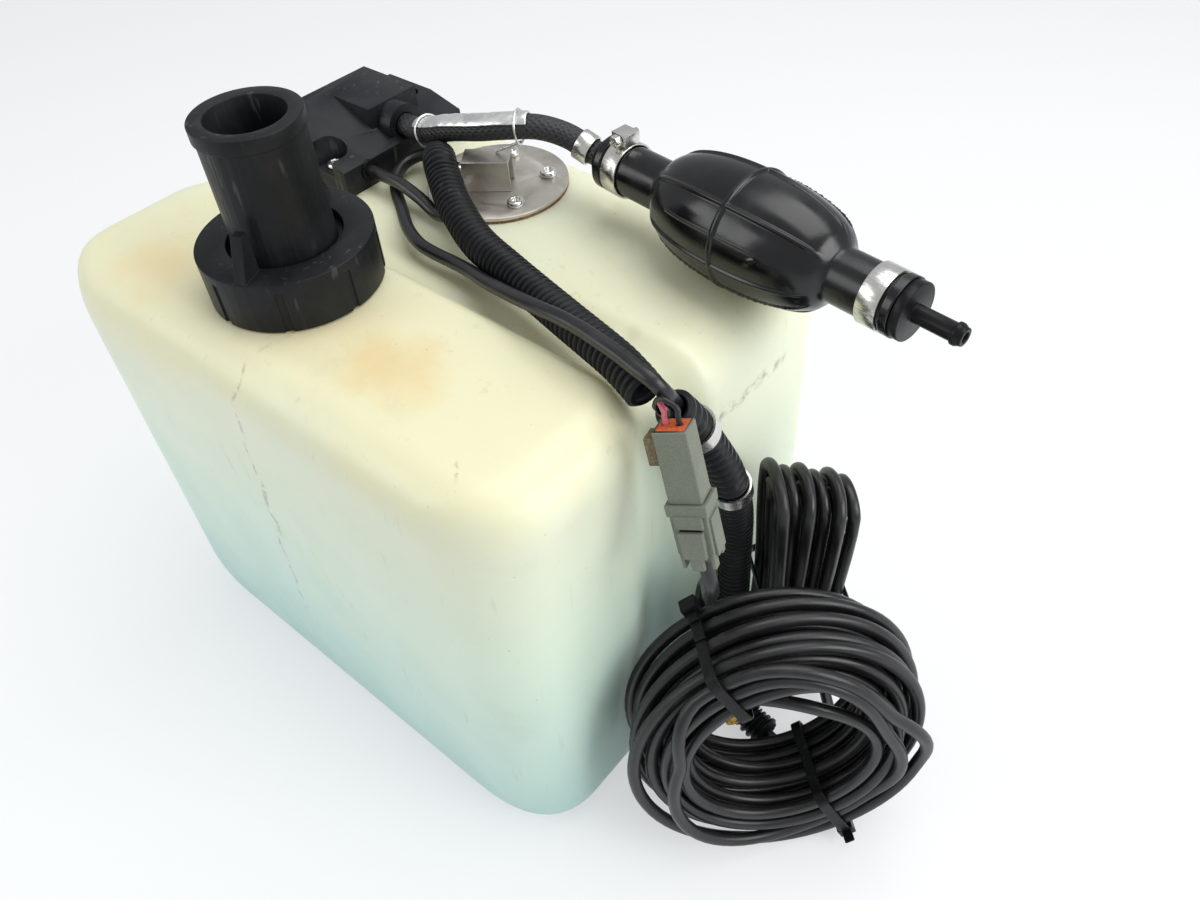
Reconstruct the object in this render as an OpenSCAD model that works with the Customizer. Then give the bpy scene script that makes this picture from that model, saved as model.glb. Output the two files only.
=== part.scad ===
// Outboard oil tank: a two-lobed moulded tank with a screwed-on filler spout, an oil pickup
// with a level float, an oil line with a primer bulb, and the level sensor's harness.
// The origin lies under the middle of the tank's base, +X to the harness end, +Y to the rear, +Z up.

/* [Tank] */
// Length of the tank at its base
tank_l = 288; // [260:1:340]
// Depth of the tank at its base
tank_d = 213; // [200:1:260]
// Height of the front lobe
tank_h = 234; // [200:1:300]
// How far the rear lobe's top lies below the front one
rear_drop = 6; // [2:0.5:10]
// Wall of the tank
tank_wall = 3; // [2:0.1:4.5]
// Radius of the front upright corners, seen from above
corner_r = 34; // [26:1:42]
// Radius of the rear upright corners, seen from above
rear_corner_r = 21; // [21:1:34]
// Radius of the top and bottom edges
edge_r = 20; // [14:1:26]
// Lean of each side over the full height
draft = 1; // [0:0.5:4]
// Depth of the strap groove over the top
groove_top = 10; // [4:0.5:14]
// Depth of the strap groove down both ends
groove_end = 11; // [4:0.5:14]
// Place of the groove's bottom, from the middle
groove_y = -6; // [-12:0.5:0]

/* [Filler] */
// Place of the filler along the tank
neck_x = -22; // [-40:1:10]
// Place of the filler across the tank
neck_y = -49; // [-56:1:-46]
// Outer diameter of the neck
neck_od = 55; // [50:0.5:58]
// Bore of the neck
neck_id = 46; // [43:0.5:48]
// Height of the neck over the tank
neck_h = 12; // [10:0.5:16]
// Height of one thread ridge over the neck
thread_rise = 1.6; // [1:0.1:2]
// Lift of the ring nut in one turn
thread_pitch = 5; // [4:0.5:6]
// Thickness of the neck gasket
neck_gasket_t = 2; // [1:0.1:3]
// Outer diameter of the ring nut
ring_od = 72; // [69:0.5:76]
// Wall of the ring nut's skirt
ring_wall = 5.8; // [4.5:0.1:6]
// Thickness of the ring nut's top
ring_top_t = 4; // [3:0.1:6]
// Height of the ring nut's wings over its top
wing_h = 17; // [10:0.5:22]
// Thickness of the ring nut's wings
wing_t = 5; // [3:0.1:7]
// Thickness of the spout's flange
flange_t = 4.4; // [3:0.1:6]
// Outer diameter of the spout's tube
spout_od = 41; // [36:0.5:42]
// Bore of the spout
spout_bore = 31; // [26:0.5:32]
// Height of the spout's tube over its flange
spout_h = 56; // [40:1:80]
// Outer diameter of the bead round the spout's rim
rim_od = 43.2; // [42.5:0.1:46]
// Height of that bead
rim_h = 6; // [4:0.5:9]

/* [Pickup] */
// Right-hand face of the pickup cover
cover_x = -62; // [-66:0.5:-58]
// Front face of the pickup cover
cover_y = 10.5; // [8:0.5:14]
// Length of the pickup cover
cover_l = 66; // [62:0.5:68]
// Depth of the pickup cover
cover_d = 75.5; // [70:0.5:78]
// Height of the cover's low edge
cover_low = 13; // [11:0.5:16]
// Height of the cover's flat top
cover_high = 28; // [27:0.5:32]
// Height of the cover's rear shoulder
cover_rear = 18; // [16:0.5:20]
// Wall of the pickup cover
cover_wall = 3; // [2:0.1:4]
// Thickness of the gaskets on the rear lobe
gasket_t = 1.2; // [0.8:0.1:2]
// Height of the hose port over the rear lobe
port_z = 17.5; // [16:0.5:20]
// Diameter of the boss round the hose port
port_od = 20; // [18:0.5:21]
// Diameter of the opening under the cover
pickup_hole = 42; // [40:0.5:43]
// Diameter of the suction tube
suction_od = 10; // [8:0.5:11]
// Bore of the suction tube
suction_bore = 6; // [4:0.5:6.5]
// Diameter of the suction strainer
strainer_od = 18; // [16:0.5:19]
// Height of the suction strainer
strainer_h = 30; // [20:1:40]
// Height of the strainer over the tank's floor
strainer_z = 6; // [4:0.5:12]
// Diameter of the float's stem
stem_od = 8; // [6:0.5:9]
// Diameter of the float
float_od = 22; // [20:0.5:23]
// Height of the float
float_h = 26; // [18:1:34]
// Height of the lower float stop over the tank's floor
stop_z = 40; // [30:1:60]
// Travel of the float
float_travel = 120; // [60:1:125]

/* [Sender plate] */
// Place of the plate along the tank
plate_x = -12; // [-14:0.5:-8]
// Place of the plate across the tank
plate_y = 60; // [58:0.5:64]
// Diameter of the plate
plate_od = 67; // [64:0.5:70]
// Thickness of the plate
plate_t = 1.6; // [1:0.1:2]
// Diameter of the plate's bolt circle
plate_pcd = 48; // [46:0.5:52]
// Diameter of the opening under the plate
plate_hole = 36; // [30:0.5:38]
// Diameter of the screws' shanks
screw_d = 4; // [3:0.1:5]
// Diameter of the screws' heads
head_d = 8.2; // [7:0.1:9]
// Height of the screws' heads
head_h = 2.6; // [2:0.1:3]
// Length of the screws under their heads
screw_l = 9; // [8:0.5:12]
// Width of the hose bracket
bracket_w = 22; // [16:0.5:24]
// Depth of the hose bracket
bracket_d = 13; // [10:0.5:16]
// Height of the hose bracket
bracket_h = 15; // [12:0.5:16]
// Thickness of the hose bracket's sheet
bracket_t = 1.5; // [1:0.1:2]

/* [Oil line] */
// Outer diameter of the oil hose
hose_od = 11; // [10:0.5:11.5]
// Bore of the oil hose
hose_bore = 7.6; // [7:0.1:7.8]
// Outer diameter of the hose barbs
barb_od = 6.6; // [5:0.1:7]
// Diameter of the primer bulb
bulb_od = 48; // [42:0.5:50]
// Height of the rib round the bulb's middle
girth_rise = 1; // [0.5:0.1:1.2]
// Length of the bulb between its necks
bulb_l = 85; // [78:1:95]
// Wall of the bulb
bulb_wall = 3.5; // [2.5:0.1:5]
// Diameter of the bulb's necks
bulb_neck_od = 22; // [20:0.5:23]
// Bore of the bulb's necks
bulb_neck_bore = 15; // [13.5:0.5:15.5]
// Length of the inlet neck
neck_in = 36; // [30:1:42]
// Length of the outlet neck
neck_out = 30; // [26:1:36]
// Length of the outlet nipple
nipple_l = 20; // [16:1:30]
// Diameter of the outlet nipple
nipple_od = 7.2; // [6:0.1:8]
// Opening travel of the check valves
valve_travel = 3; // [1:0.1:3.5]
// Thickness of the clamps' bands
band_t = 0.9; // [0.6:0.1:1.2]
// Width of the clamps' bands
band_w = 8.5; // [6:0.5:9]

/* [Harness] */
// Diameter of the cables
cable_d = 5.8; // [5:0.1:6]
// Outer diameter of the corrugated conduit
conduit_od = 15.6; // [13:0.1:15.8]
// Height of the conduit's ribs
rib_rise = 1; // [0.5:0.1:1.2]
// Bore of the conduit
conduit_bore = 10.4; // [8:0.1:11]
// Ribs along the upper conduit
upper_ribs = 23; // [16:1:23]
// Ribs along the lower conduit
lower_ribs = 27; // [20:1:27]
// Width of the connector's receptacle
recept_w = 12.8; // [12:0.1:14]
// Thickness of the connector's receptacle
recept_t = 10.5; // [9:0.1:12]
// Length of the receptacle that shows
recept_l = 29; // [24:0.5:34]
// Width of the connector's plug
plug_w = 16; // [15:0.1:18]
// Thickness of the connector's plug
plug_t = 13; // [12.4:0.1:15]
// Length of the connector's plug
plug_l = 28; // [25:0.5:32]
// Middle radius of the coil's outer turns
coil_r = 63.5; // [62:0.5:70]
// Step between the coil's turns
coil_step = 7.15; // [7.1:0.05:7.4]
// Step between the coil's layers
coil_layer = 7.3; // [7.2:0.05:8]
// Turns of the spiral in one layer of the coil
coil_turns = 3.2; // [2.2:0.5:3.2]
// Lean of the coil's axis over the floor
coil_lean = 7.5; // [0:0.5:15]
// Length of the hank's straight runs
hank_run = 124; // [90:1:130]
// Half width of the hank's outer loops
hank_r = 17; // [17:0.5:19]
// Step between the hank's loops
hank_step = 8.4; // [8.4:0.1:9]
// Step between the hank's layers
hank_layer = 6.8; // [6.8:0.1:8]
// Share of its width that the hank keeps at its tie
hank_waist = 0.9; // [0.9:0.01:1]
// Width of the cable ties
tie_w = 4.8; // [3:0.1:6]
// Thickness of the cable ties
tie_t = 1.2; // [0.8:0.1:1.6]

/* [Fits] */
// Gap between pieces that move on each other
run_gap = 0.3; // [0.2:0.05:0.4]
// Gap between a shank and its hole, on the radius
hole_gap = 0.2; // [0.1:0.05:0.3]

/* [Hidden] */
$fn = 48;

// Levels
rear_top = tank_h - rear_drop;
end_x = tank_l / 2;
plate_top = rear_top + gasket_t + plate_t;
neck_top = tank_h + neck_h;
flange_z = neck_top + neck_gasket_t;
ring_top_z = flange_z + flange_t + run_gap + ring_top_t;
ring_z = tank_h + 2 * run_gap;
spout_top = flange_z + flange_t + spout_h;
slack = 0.01;

// General curves
function smooth(a, b, v) = let (t = min(max((v - a) / (b - a), 0), 1)) t * t * (3 - 2 * t);
function unit(v) = v / norm(v);
function tangent(p, i) = unit(p[min(i + 1, len(p) - 1)] - p[max(i - 1, 0)]);
function across(n, t) = unit(n - (n * t) * t);
function first_side(t) = across(abs(t[2]) < 0.9 ? [0, 0, 1] : [1, 0, 0], t);
function carried_sides(p) = [for (
    i = 0, n = first_side(tangent(p, 0)); i < len(p);
    n = across(n, tangent(p, min(i + 1, len(p) - 1))), i = i + 1) n];
function bow(a, b, c, d, t) =
    0.5 * (2 * b + (c - a) * t + (2 * a - 5 * b + 4 * c - d) * t * t + (3 * b - a - 3 * c + d) * t * t * t);
function route(p, steps) = concat(
    [for (i = [0:len(p) - 2]) for (j = [0:steps - 1])
        bow(p[max(i - 1, 0)], p[i], p[i + 1], p[min(i + 2, len(p) - 1)], j / steps)],
    [p[len(p) - 1]]);
function run_lengths(p) = [for (
    i = 0, s = 0; i < len(p);
    s = s + norm(p[min(i + 1, len(p) - 1)] - p[i]), i = i + 1) s];
function along(p, runs, s) = let (
    k = max([for (i = [0:len(p) - 2]) if (runs[i] <= s) i]))
    p[k] + (p[k + 1] - p[k]) * (s - runs[k]) / (runs[k + 1] - runs[k]);
function evenly(p, n) = let (runs = run_lengths(p), full = runs[len(p) - 1])
    [for (i = [0:n]) along(p, runs, min(full * i / n, full - slack))];
function raised(p, z) = [for (q = p) q + [0, 0, z]];
function moved(p, v) = [for (q = p) q + v];

// Least distance between points of a wound path that lie more than a stretch apart along it
function self_gap(p, reach, d) = min([for (i = [0:len(p) - 1]) for (j = [i + reach:len(p) - 1])
    norm(p[i] - p[j])]) - d;

// Rings of points round a path, and the triangles between them
function ring_points(p, r, sides) = let (n = carried_sides(p))
    [for (i = [0:len(p) - 1]) for (k = [0:sides - 1])
        let (t = tangent(p, i), a = 360 * k / sides)
        p[i] + r[min(i, len(r) - 1)] * (n[i] * cos(a) + cross(t, n[i]) * sin(a))];
function wall_faces(first, rings, sides, outward) = [
    for (i = [0:rings - 2]) for (k = [0:sides - 1])
        let (a = first + i * sides + k, b = first + i * sides + (k + 1) % sides)
        for (f = outward
            ? [[a, a + sides, b], [b, a + sides, b + sides]]
            : [[a, b, a + sides], [b, b + sides, a + sides]]) f];
function cap_faces(first, sides, outward) = [for (k = [1:sides - 2])
    outward ? [first, first + k, first + k + 1] : [first, first + k + 1, first + k]];
function lip_faces(outer, inner, sides, outward) = [for (k = [0:sides - 1])
    let (a = outer + k, b = outer + (k + 1) % sides, c = inner + k, d = inner + (k + 1) % sides)
    for (f = outward ? [[a, b, c], [b, d, c]] : [[a, c, b], [b, c, d]]) f];

// A solid tube along a path
module rod(p, r, sides = 8) {
    last = (len(p) - 1) * sides;
    polyhedron(ring_points(p, r, sides), concat(
        wall_faces(0, len(p), sides, true),
        cap_faces(0, sides, true),
        cap_faces(last, sides, false)));
}

// A hollow tube: the outer wall follows one path and the bore another with the same ends
module pipe(p, r, q, bore, sides = 8) {
    first = len(p) * sides;
    polyhedron(concat(ring_points(p, r, sides), ring_points(q, [bore], sides)), concat(
        wall_faces(0, len(p), sides, true),
        wall_faces(first, len(q), sides, false),
        lip_faces(0, first, sides, true),
        lip_faces(first - sides, first + (len(q) - 1) * sides, sides, false)));
}

// Places a piece at a point, with its own Z along a direction
module aim(at, to) {
    flat = norm([to[0], to[1]]);
    translate(at) rotate([0, atan2(flat, to[2]), flat > 0 ? atan2(to[1], to[0]) : 0]) children();
}

module ring(od, id, h) {
    difference() {
        cylinder(d = od, h = h);
        translate([0, 0, -slack]) cylinder(d = id, h = h + 2 * slack);
    }
}

// Tank
// Each ring is a rounded rectangle in an XZ plane. Its width, top and bottom change along Y.
tank_corner_n = 6;
groove_front = 14;
groove_rear = 20;
groove_flat = 4;
function groove(y, soft) = smooth(groove_y - groove_flat - soft, groove_y - groove_flat, y)
    * (1 - smooth(groove_y + groove_flat, groove_y + groove_flat + groove_rear, y));
function round_off(d, r) = d >= r ? 0 : r - sqrt(max(r * r - (r - d) * (r - d), 0));
function tank_stations(half) = let (turn = 6, mid = 18, front = -half + corner_r, rear = half - rear_corner_r)
    concat([for (i = [0:turn]) front - corner_r * cos(90 * i / turn)],
        [for (i = [1:mid - 1]) front + (rear - front) * i / mid],
        [for (i = [0:turn]) rear + rear_corner_r * sin(90 * i / turn)]);
function lean(p) = [
    p[0] * (1 - draft * p[2] / tank_h / end_x),
    p[1] * (1 - draft * p[2] / tank_h / (tank_d / 2)), p[2]];
function tank_ring(y, wall) = let (
    d = tank_d / 2 - abs(y),
    fall = rear_drop * smooth(groove_y, groove_y + groove_rear, y),
    corner = round_off(d, y < 0 ? corner_r : rear_corner_r),
    w = end_x - wall - corner - groove_end * groove(y, 2 * groove_front),
    e = edge_r - wall,
    b = wall + round_off(d, edge_r),
    t = tank_h - wall - fall - groove_top * groove(y, groove_front) - round_off(d, edge_r),
    yy = y * (1 - wall / (tank_d / 2)))
    [for (c = [0:3]) for (i = [0:tank_corner_n]) let (
        a = 90 * (c + i / tank_corner_n),
        sx = (c == 0 || c == 3) ? 1 : -1,
        mz = c < 2 ? t - e : b + e)
        lean([sx * (w - e) + e * cos(a), yy, mz + e * sin(a)])];
module tank_form(wall) {
    ys = tank_stations(tank_d / 2);
    n = 4 * (tank_corner_n + 1);
    polyhedron([for (y = ys) for (q = tank_ring(y, wall)) q], concat(
        wall_faces(0, len(ys), n, false),
        cap_faces(0, n, false),
        cap_faces((len(ys) - 1) * n, n, true)));
}

// Screw places
pickup_x = cover_x - cover_l / 2;
pickup_y = cover_y + cover_d - 35;
port_y = pickup_y + 3;
cover_screw_in = 15;
cover_screw_edge = 6.8;
cover_rear_edge = 9;
cover_screw_z = 9;
cover_rear_in = 27;
function cover_row(first, y) = [for (x = [cover_x - first, cover_x - cover_l + cover_screw_in]) [x, y]];
cover_front_row = cover_row(cover_screw_in, cover_y + cover_screw_edge);
cover_rear_row = cover_row(cover_rear_in, cover_y + cover_d - cover_rear_edge);
cover_screw_at = concat(cover_front_row, cover_rear_row);
plate_screw_n = 5;
plate_screw_turn = -26;
plate_screw_at = [for (i = [0:plate_screw_n - 1]) let (a = plate_screw_turn + 360 * i / plate_screw_n)
    [plate_x + plate_pcd / 2 * cos(a), plate_y + plate_pcd / 2 * sin(a)]];
shank_hole = screw_d + 2 * hole_gap;

module drill(places, z, d, h) {
    for (q = places) translate([q[0], q[1], z]) cylinder(d = d, h = h);
}

module pan_screw() {
    difference() {
        union() {
            translate([0, 0, -screw_l]) cylinder(d = screw_d, h = screw_l);
            cylinder(d = head_d, h = head_h);
        }
        for (a = [0, 90]) rotate(a) translate([-head_d / 4, -0.5, head_h - 1.2])
            cube([head_d / 2, 1, 2]);
    }
}

thread_h = 1.6;
thread_at = [2.2, 2.2 + thread_pitch];
module tank_body() {
    color("#e4e8c4")
    difference() {
        union() {
            tank_form(0);
            translate([neck_x, neck_y, tank_h - tank_wall])
                cylinder(d = neck_od, h = tank_wall + neck_h);
            for (z = thread_at) translate([neck_x, neck_y, tank_h + z])
                cylinder(d = neck_od + 2 * thread_rise, h = thread_h);
        }
        tank_form(tank_wall);
        translate([neck_x, neck_y, tank_h - 3 * tank_wall])
            cylinder(d = neck_id, h = 3 * tank_wall + neck_h + 1);
        drill([[pickup_x, pickup_y]], rear_top - 3 * tank_wall, pickup_hole, 4 * tank_wall);
        drill([[plate_x, plate_y]], rear_top - 3 * tank_wall, plate_hole, 4 * tank_wall);
        drill(concat(cover_screw_at, plate_screw_at), rear_top - 3 * tank_wall, shank_hole, 4 * tank_wall);
    }
}

// Filler
flange_d = neck_od + 2 * thread_rise;
ring_bore = ring_od - 2 * ring_wall;
skirt_wall = 2.5;
skirt_h = 8;
ring_hole = spout_od + 6;
module spout_gasket() {
    color("#1c1c1c") translate([neck_x, neck_y, neck_top]) ring(neck_od, neck_id, neck_gasket_t);
}

module filler_spout() {
    skirt_od = neck_id - 2 * run_gap;
    color("#26272a") translate([neck_x, neck_y, flange_z])
    difference() {
        union() {
            cylinder(d = flange_d, h = flange_t);
            cylinder(d = spout_od, h = flange_t + spout_h);
            translate([0, 0, flange_t + spout_h - rim_h]) cylinder(d = rim_od, h = rim_h);
            translate([0, 0, -skirt_h]) ring(skirt_od, skirt_od - 2 * skirt_wall, skirt_h);
        }
        translate([0, 0, -slack]) cylinder(d = spout_bore, h = flange_t + spout_h + 1);
    }
}

wing_turn = -66;
grip_n = 8;
grip_w = 3;
grip_depth = 0.8;
module ring_nut() {
    height = ring_top_z - ring_z;
    wing_in = ring_hole / 2 + 0.8;
    wing_out = ring_od / 2 - 1;
    color("#2b2c2f") translate([neck_x, neck_y, ring_z]) {
        difference() {
            union() {
                cylinder(d = ring_od, h = height);
                for (a = [0, 180]) rotate(wing_turn + a) translate([0, wing_t / 2, height - slack])
                    rotate([90, 0, 0]) linear_extrude(wing_t) polygon([
                        [wing_in, 0], [wing_out, 0], [wing_in + 4, wing_h], [wing_in, wing_h]]);
            }
            translate([0, 0, -slack]) cylinder(d = ring_bore, h = height - ring_top_t + slack);
            translate([0, 0, -slack]) cylinder(d = ring_hole, h = height + 1);
            for (i = [0:grip_n - 1]) rotate(wing_turn + 360 * (i + 0.5) / grip_n)
                translate([ring_od / 2 - grip_depth, -grip_w / 2, -slack])
                cube([2, grip_w, height - ring_top_t]);
        }
    }
}

// Pickup
cover_z = rear_top + gasket_t;
cover_top = rear_top + cover_high;
pickup_flange_t = 3;
pickup_flange_d = pickup_hole + 6;
tube_off = 10;
suction_x = pickup_x + tube_off;
stem_x = pickup_x - tube_off;
barb_z = rear_top + port_z;
block_x = cover_x - 13;
block_d = 30;
boss_l = 9;
ramp_l = 39;
plateau_l = 12;
shoulder_y = cover_y + cover_d - 15;
shoulder_l = 20;
gland_y = cover_y + 14.5;
gland_z = rear_top + 8.5;
gland_d = cable_d + 4;
barb_seat_d = suction_od + 2;

module pickup_gasket() {
    color("#6b4a2b") difference() {
        translate([cover_x - cover_l, cover_y, rear_top]) cube([cover_l, cover_d, gasket_t]);
        drill([[pickup_x, pickup_y]], rear_top - 1, pickup_hole, gasket_t + 2);
        drill(cover_screw_at, rear_top - 1, shank_hole, gasket_t + 2);
    }
}

module pickup_flange() {
    color("#202124") difference() {
        translate([pickup_x, pickup_y, cover_z]) cylinder(d = pickup_flange_d, h = pickup_flange_t);
        drill([[suction_x, port_y]], cover_z - 1, suction_od + 2 * slack, pickup_flange_t + 2);
        drill([[stem_x, pickup_y]], cover_z - 1, stem_od + 2 * slack, pickup_flange_t + 2);
        drill(cover_rear_row, cover_z - 1, shank_hole, pickup_flange_t + 2);
    }
}

// The cover's side view: a low right edge, a ramp, a short flat top and a leaning left side.
// Behind that lies a lower shoulder.
function cover_side(wall, low, high, run) = [
    [cover_x - wall, cover_z - min(wall, slack)], [cover_x - wall, rear_top + low - wall],
    [cover_x - run, rear_top + high - wall], [cover_x - ramp_l - plateau_l + wall, rear_top + high - wall],
    [cover_x - cover_l + wall, cover_z - min(wall, slack)]];
module slab(y, depth, side) {
    translate([0, y + depth, 0]) rotate([90, 0, 0]) linear_extrude(depth) polygon(side);
}
module cover_slabs(wall) {
    slab(cover_y + wall, shoulder_y - cover_y - 2 * wall, cover_side(wall, cover_low, cover_high, ramp_l));
    slab(cover_y + wall, cover_d - 2 * wall, cover_side(wall, cover_low, cover_rear, shoulder_l));
}
module port_block(wall) {
    translate([cover_x - ramp_l, shoulder_y - block_d + wall, cover_z])
        cube([block_x - wall - cover_x + ramp_l, block_d - 2 * wall, cover_top - wall - cover_z]);
}
module pickup_cover() {
    well_d = head_d + 6;
    post_d = well_d + 3;
    color("#232427") difference() {
        union() {
            cover_slabs(0);
            port_block(0);
            translate([block_x - 1, port_y, barb_z]) rotate([0, 90, 0]) cylinder(d = port_od, h = boss_l + 1);
        }
        difference() {
            union() {
                cover_slabs(cover_wall);
                port_block(cover_wall);
            }
            drill(cover_front_row, cover_z - 1, post_d, cover_high + 2);
            drill(cover_rear_row, cover_z + pickup_flange_t + run_gap, post_d, cover_high);
        }
        drill(cover_screw_at, cover_z - 1, shank_hole, cover_high);
        drill(cover_front_row, rear_top + cover_screw_z, well_d, cover_high);
        for (q = cover_front_row) translate([q[0] - well_d / 2, cover_y - 1, rear_top + cover_screw_z])
            cube([well_d, cover_screw_edge + 1, cover_high]);
        drill(cover_rear_row, rear_top + cover_screw_z, head_d + 2, cover_high);
        translate([pickup_x, port_y, barb_z]) rotate([0, 90, 0]) cylinder(d = barb_seat_d, h = cover_l);
        translate([cover_x - 2 * cover_wall, gland_y, gland_z]) rotate([0, 90, 0])
            cylinder(d = gland_d, h = 4 * cover_wall);
    }
}

module cover_screws() {
    color("silver") for (q = cover_screw_at) translate([q[0], q[1], rear_top + cover_screw_z]) pan_screw();
}

// A right-angled stub: it stands on the suction tube, turns to the port and ends in a hose barb
barb_l = 8;
module outlet_barb() {
    port_face = block_x + boss_l;
    reach = port_face + barb_l - suction_x;
    foot = cover_z + pickup_flange_t;
    color("#2a2b2e") difference() {
        union() {
            translate([suction_x, port_y, foot]) cylinder(d = suction_od, h = barb_z - foot);
            translate([suction_x, port_y, barb_z]) sphere(d = suction_od);
            translate([suction_x, port_y, barb_z]) rotate([0, 90, 0])
                cylinder(d = suction_od, h = port_face - suction_x);
            translate([suction_x, port_y, barb_z]) rotate([0, 90, 0]) cylinder(d = barb_od, h = reach);
        }
        translate([suction_x, port_y, foot - 1]) cylinder(d = suction_bore - 1, h = barb_z - foot + 1);
        translate([suction_x, port_y, barb_z]) rotate([0, 90, 0])
            cylinder(d = suction_bore - 1, h = reach + 1);
    }
}

module suction_tube() {
    foot = strainer_z + strainer_h;
    color("#d8d6c8") translate([suction_x, port_y, foot])
        ring(suction_od, suction_bore, cover_z + pickup_flange_t - foot);
}

strainer_slots = 8;
module suction_strainer() {
    slot_h = strainer_h - 12;
    color("#3a3a38") translate([suction_x, port_y, strainer_z]) difference() {
        cylinder(d = strainer_od, h = strainer_h);
        translate([0, 0, 2]) cylinder(d = strainer_od - 4, h = strainer_h - 6);
        translate([0, 0, strainer_h - 5]) cylinder(d = suction_bore, h = 6);
        for (i = [0:strainer_slots - 1]) rotate(360 * i / strainer_slots)
            translate([strainer_od / 2 - 3, -1.5, 5]) cube([4, 3, slot_h]);
    }
}

clip_h = 2;
clip_d = stem_od + 8;
stem_foot = stop_z - 8;
module float_stem() {
    color("#c9c6b6") translate([stem_x, pickup_y, stem_foot])
        cylinder(d = stem_od, h = cover_z + pickup_flange_t - stem_foot);
}
module stem_clip() {
    color("silver") for (z = [stop_z - clip_h, stop_z + float_h + float_travel + 2 * run_gap])
        translate([stem_x, pickup_y, z]) ring(clip_d, stem_od + 2 * slack, clip_h);
}
module level_float() {
    color("#d9a441") translate([stem_x, pickup_y, stop_z + run_gap])
        ring(float_od, stem_od + 4 * run_gap, float_h);
}

gland_l = 1.2;
module cable_gland() {
    color("#1b1b1c") translate([cover_x - cover_wall, gland_y, gland_z]) rotate([0, 90, 0])
        ring(gland_d - 2 * slack, cable_d + 2 * run_gap, cover_wall + gland_l);
}

// Sender plate
module plate_gasket() {
    color("#7a5128") difference() {
        translate([plate_x, plate_y, rear_top]) cylinder(d = plate_od, h = gasket_t);
        drill([[plate_x, plate_y]], rear_top - 1, plate_hole, gasket_t + 2);
        drill(plate_screw_at, rear_top - 1, shank_hole, gasket_t + 2);
    }
}
module sender_plate() {
    color("#a9aaa6") difference() {
        translate([plate_x, plate_y, rear_top + gasket_t]) cylinder(d = plate_od, h = plate_t);
        drill(plate_screw_at, rear_top, shank_hole, gasket_t + plate_t + 1);
    }
}
module plate_screws() {
    color("silver") for (q = plate_screw_at) translate([q[0], q[1], plate_top]) pan_screw();
}

bracket_turn = 36;
bracket_in = 5.2;
module hose_bracket() {
    color("#9d9c97") translate([plate_x, plate_y - bracket_in, plate_top]) rotate(bracket_turn)
    difference() {
        translate([-bracket_w / 2, -bracket_d / 2, 0]) cube([bracket_w, bracket_d, bracket_h]);
        translate([-bracket_w / 2 - 1, -bracket_d / 2 + bracket_t, -1])
            cube([bracket_w + 2, bracket_d - 2 * bracket_t, bracket_h - bracket_t + 1]);
    }
}

// Oil line
// The bulb rests on the rear lobe. Its axis is level and turned a little to the front.
bulb_x = 125.5;
bulb_y = 64.2;
bulb_z = rear_top + bulb_od / 2 + girth_rise + run_gap;
bulb_turn = -7.2;
bulb_dir = [cos(bulb_turn), sin(bulb_turn), 0];
function bulb_at(s) = [bulb_x, bulb_y, bulb_z] + s * bulb_dir;
module on_bulb(s) {
    translate(bulb_at(s)) rotate([0, 0, bulb_turn]) rotate([0, 90, 0]) children();
}
s_in = -bulb_l / 2 - neck_in;
s_out = bulb_l / 2 + neck_out;
collar_l = 3;
inlet_barb_l = 7;
s_hose = s_in - collar_l;
fit_gap = 0.1;

// The oil hose leaves the port along +X, rises over the bracket and comes down to the bulb's inlet.
// The heights of its middle points are over the rear lobe.
hose_points = concat(
    [for (x = [fit_gap, 5, 10]) [block_x + boss_l + x, port_y, barb_z]],
    raised([[-43, 52.6, 21.6], [-30, 52.9, 26.4], [-14, 55.5, 30.2], [0, 60.5, 33], [12, 67, 33.6],
        [23, 73, 30.2]], rear_top),
    [for (s = [10, 5, fit_gap]) bulb_at(s_hose - s)]);
hose_path = route(hose_points, 3);
hose_sides = 12;
module oil_hose() {
    color("#1d1d1f") pipe(hose_path, [hose_od / 2], hose_path, hose_bore / 2, hose_sides);
}

// A half-round metal channel that lies on the hose between two wire ties
saddle_t = 0.9;
saddle_first = 7;
saddle_last = 20;
saddle_arc_n = 8;
saddle_turn = 32;
function saddle_section(r) =
    [for (i = [0:saddle_arc_n]) let (a = saddle_turn + 180 * i / saddle_arc_n) [r * cos(a), r * sin(a)]];
module hose_saddle() {
    r = hose_od / 2 + run_gap;
    p = [for (i = [saddle_first:saddle_last]) hose_path[i]];
    outline = concat(saddle_section(r + saddle_t), [for (i = [saddle_arc_n:-1:0]) saddle_section(r)[i]]);
    n = len(outline);
    half = n / 2;
    points = [for (i = [0:len(p) - 1])
        let (t = tangent(p, i), side = unit(cross(t, [0, 0, 1])), up = cross(side, t))
        for (q = outline) p[i] + side * q[0] + up * q[1]];
    last = (len(p) - 1) * n;
    ends = [for (k = [0:half - 2]) for (f = [[k, k + 1, n - 2 - k], [k, n - 2 - k, n - 1 - k]]) f];
    color("#c4c5c4") polyhedron(points, concat(
        wall_faces(0, len(p), n, false),
        [for (f = ends) [f[0], f[2], f[1]]],
        [for (f = ends) [f[0] + last, f[1] + last, f[2] + last]]));
}

wire_d = 1;
wire_at = [8, 19];
wire_tail_d = 1.6;
module saddle_wires() {
    r = hose_od / 2 + run_gap + saddle_t + run_gap + wire_d / 2;
    tied = hose_path[wire_at[1]];
    knot = [tied[0], tied[1], tied[2] - r];
    foot = [plate_x + 2, plate_y - 0.5, plate_top + bracket_h + wire_tail_d / 2];
    color("#d0d0cc") {
        for (i = wire_at) aim(hose_path[i], tangent(hose_path, i))
            rotate_extrude() translate([r, 0]) circle(d = wire_d, $fn = 16);
        aim(foot, knot - foot) cylinder(d = wire_tail_d, h = norm(knot - foot), $fn = 16);
    }
}

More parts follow.
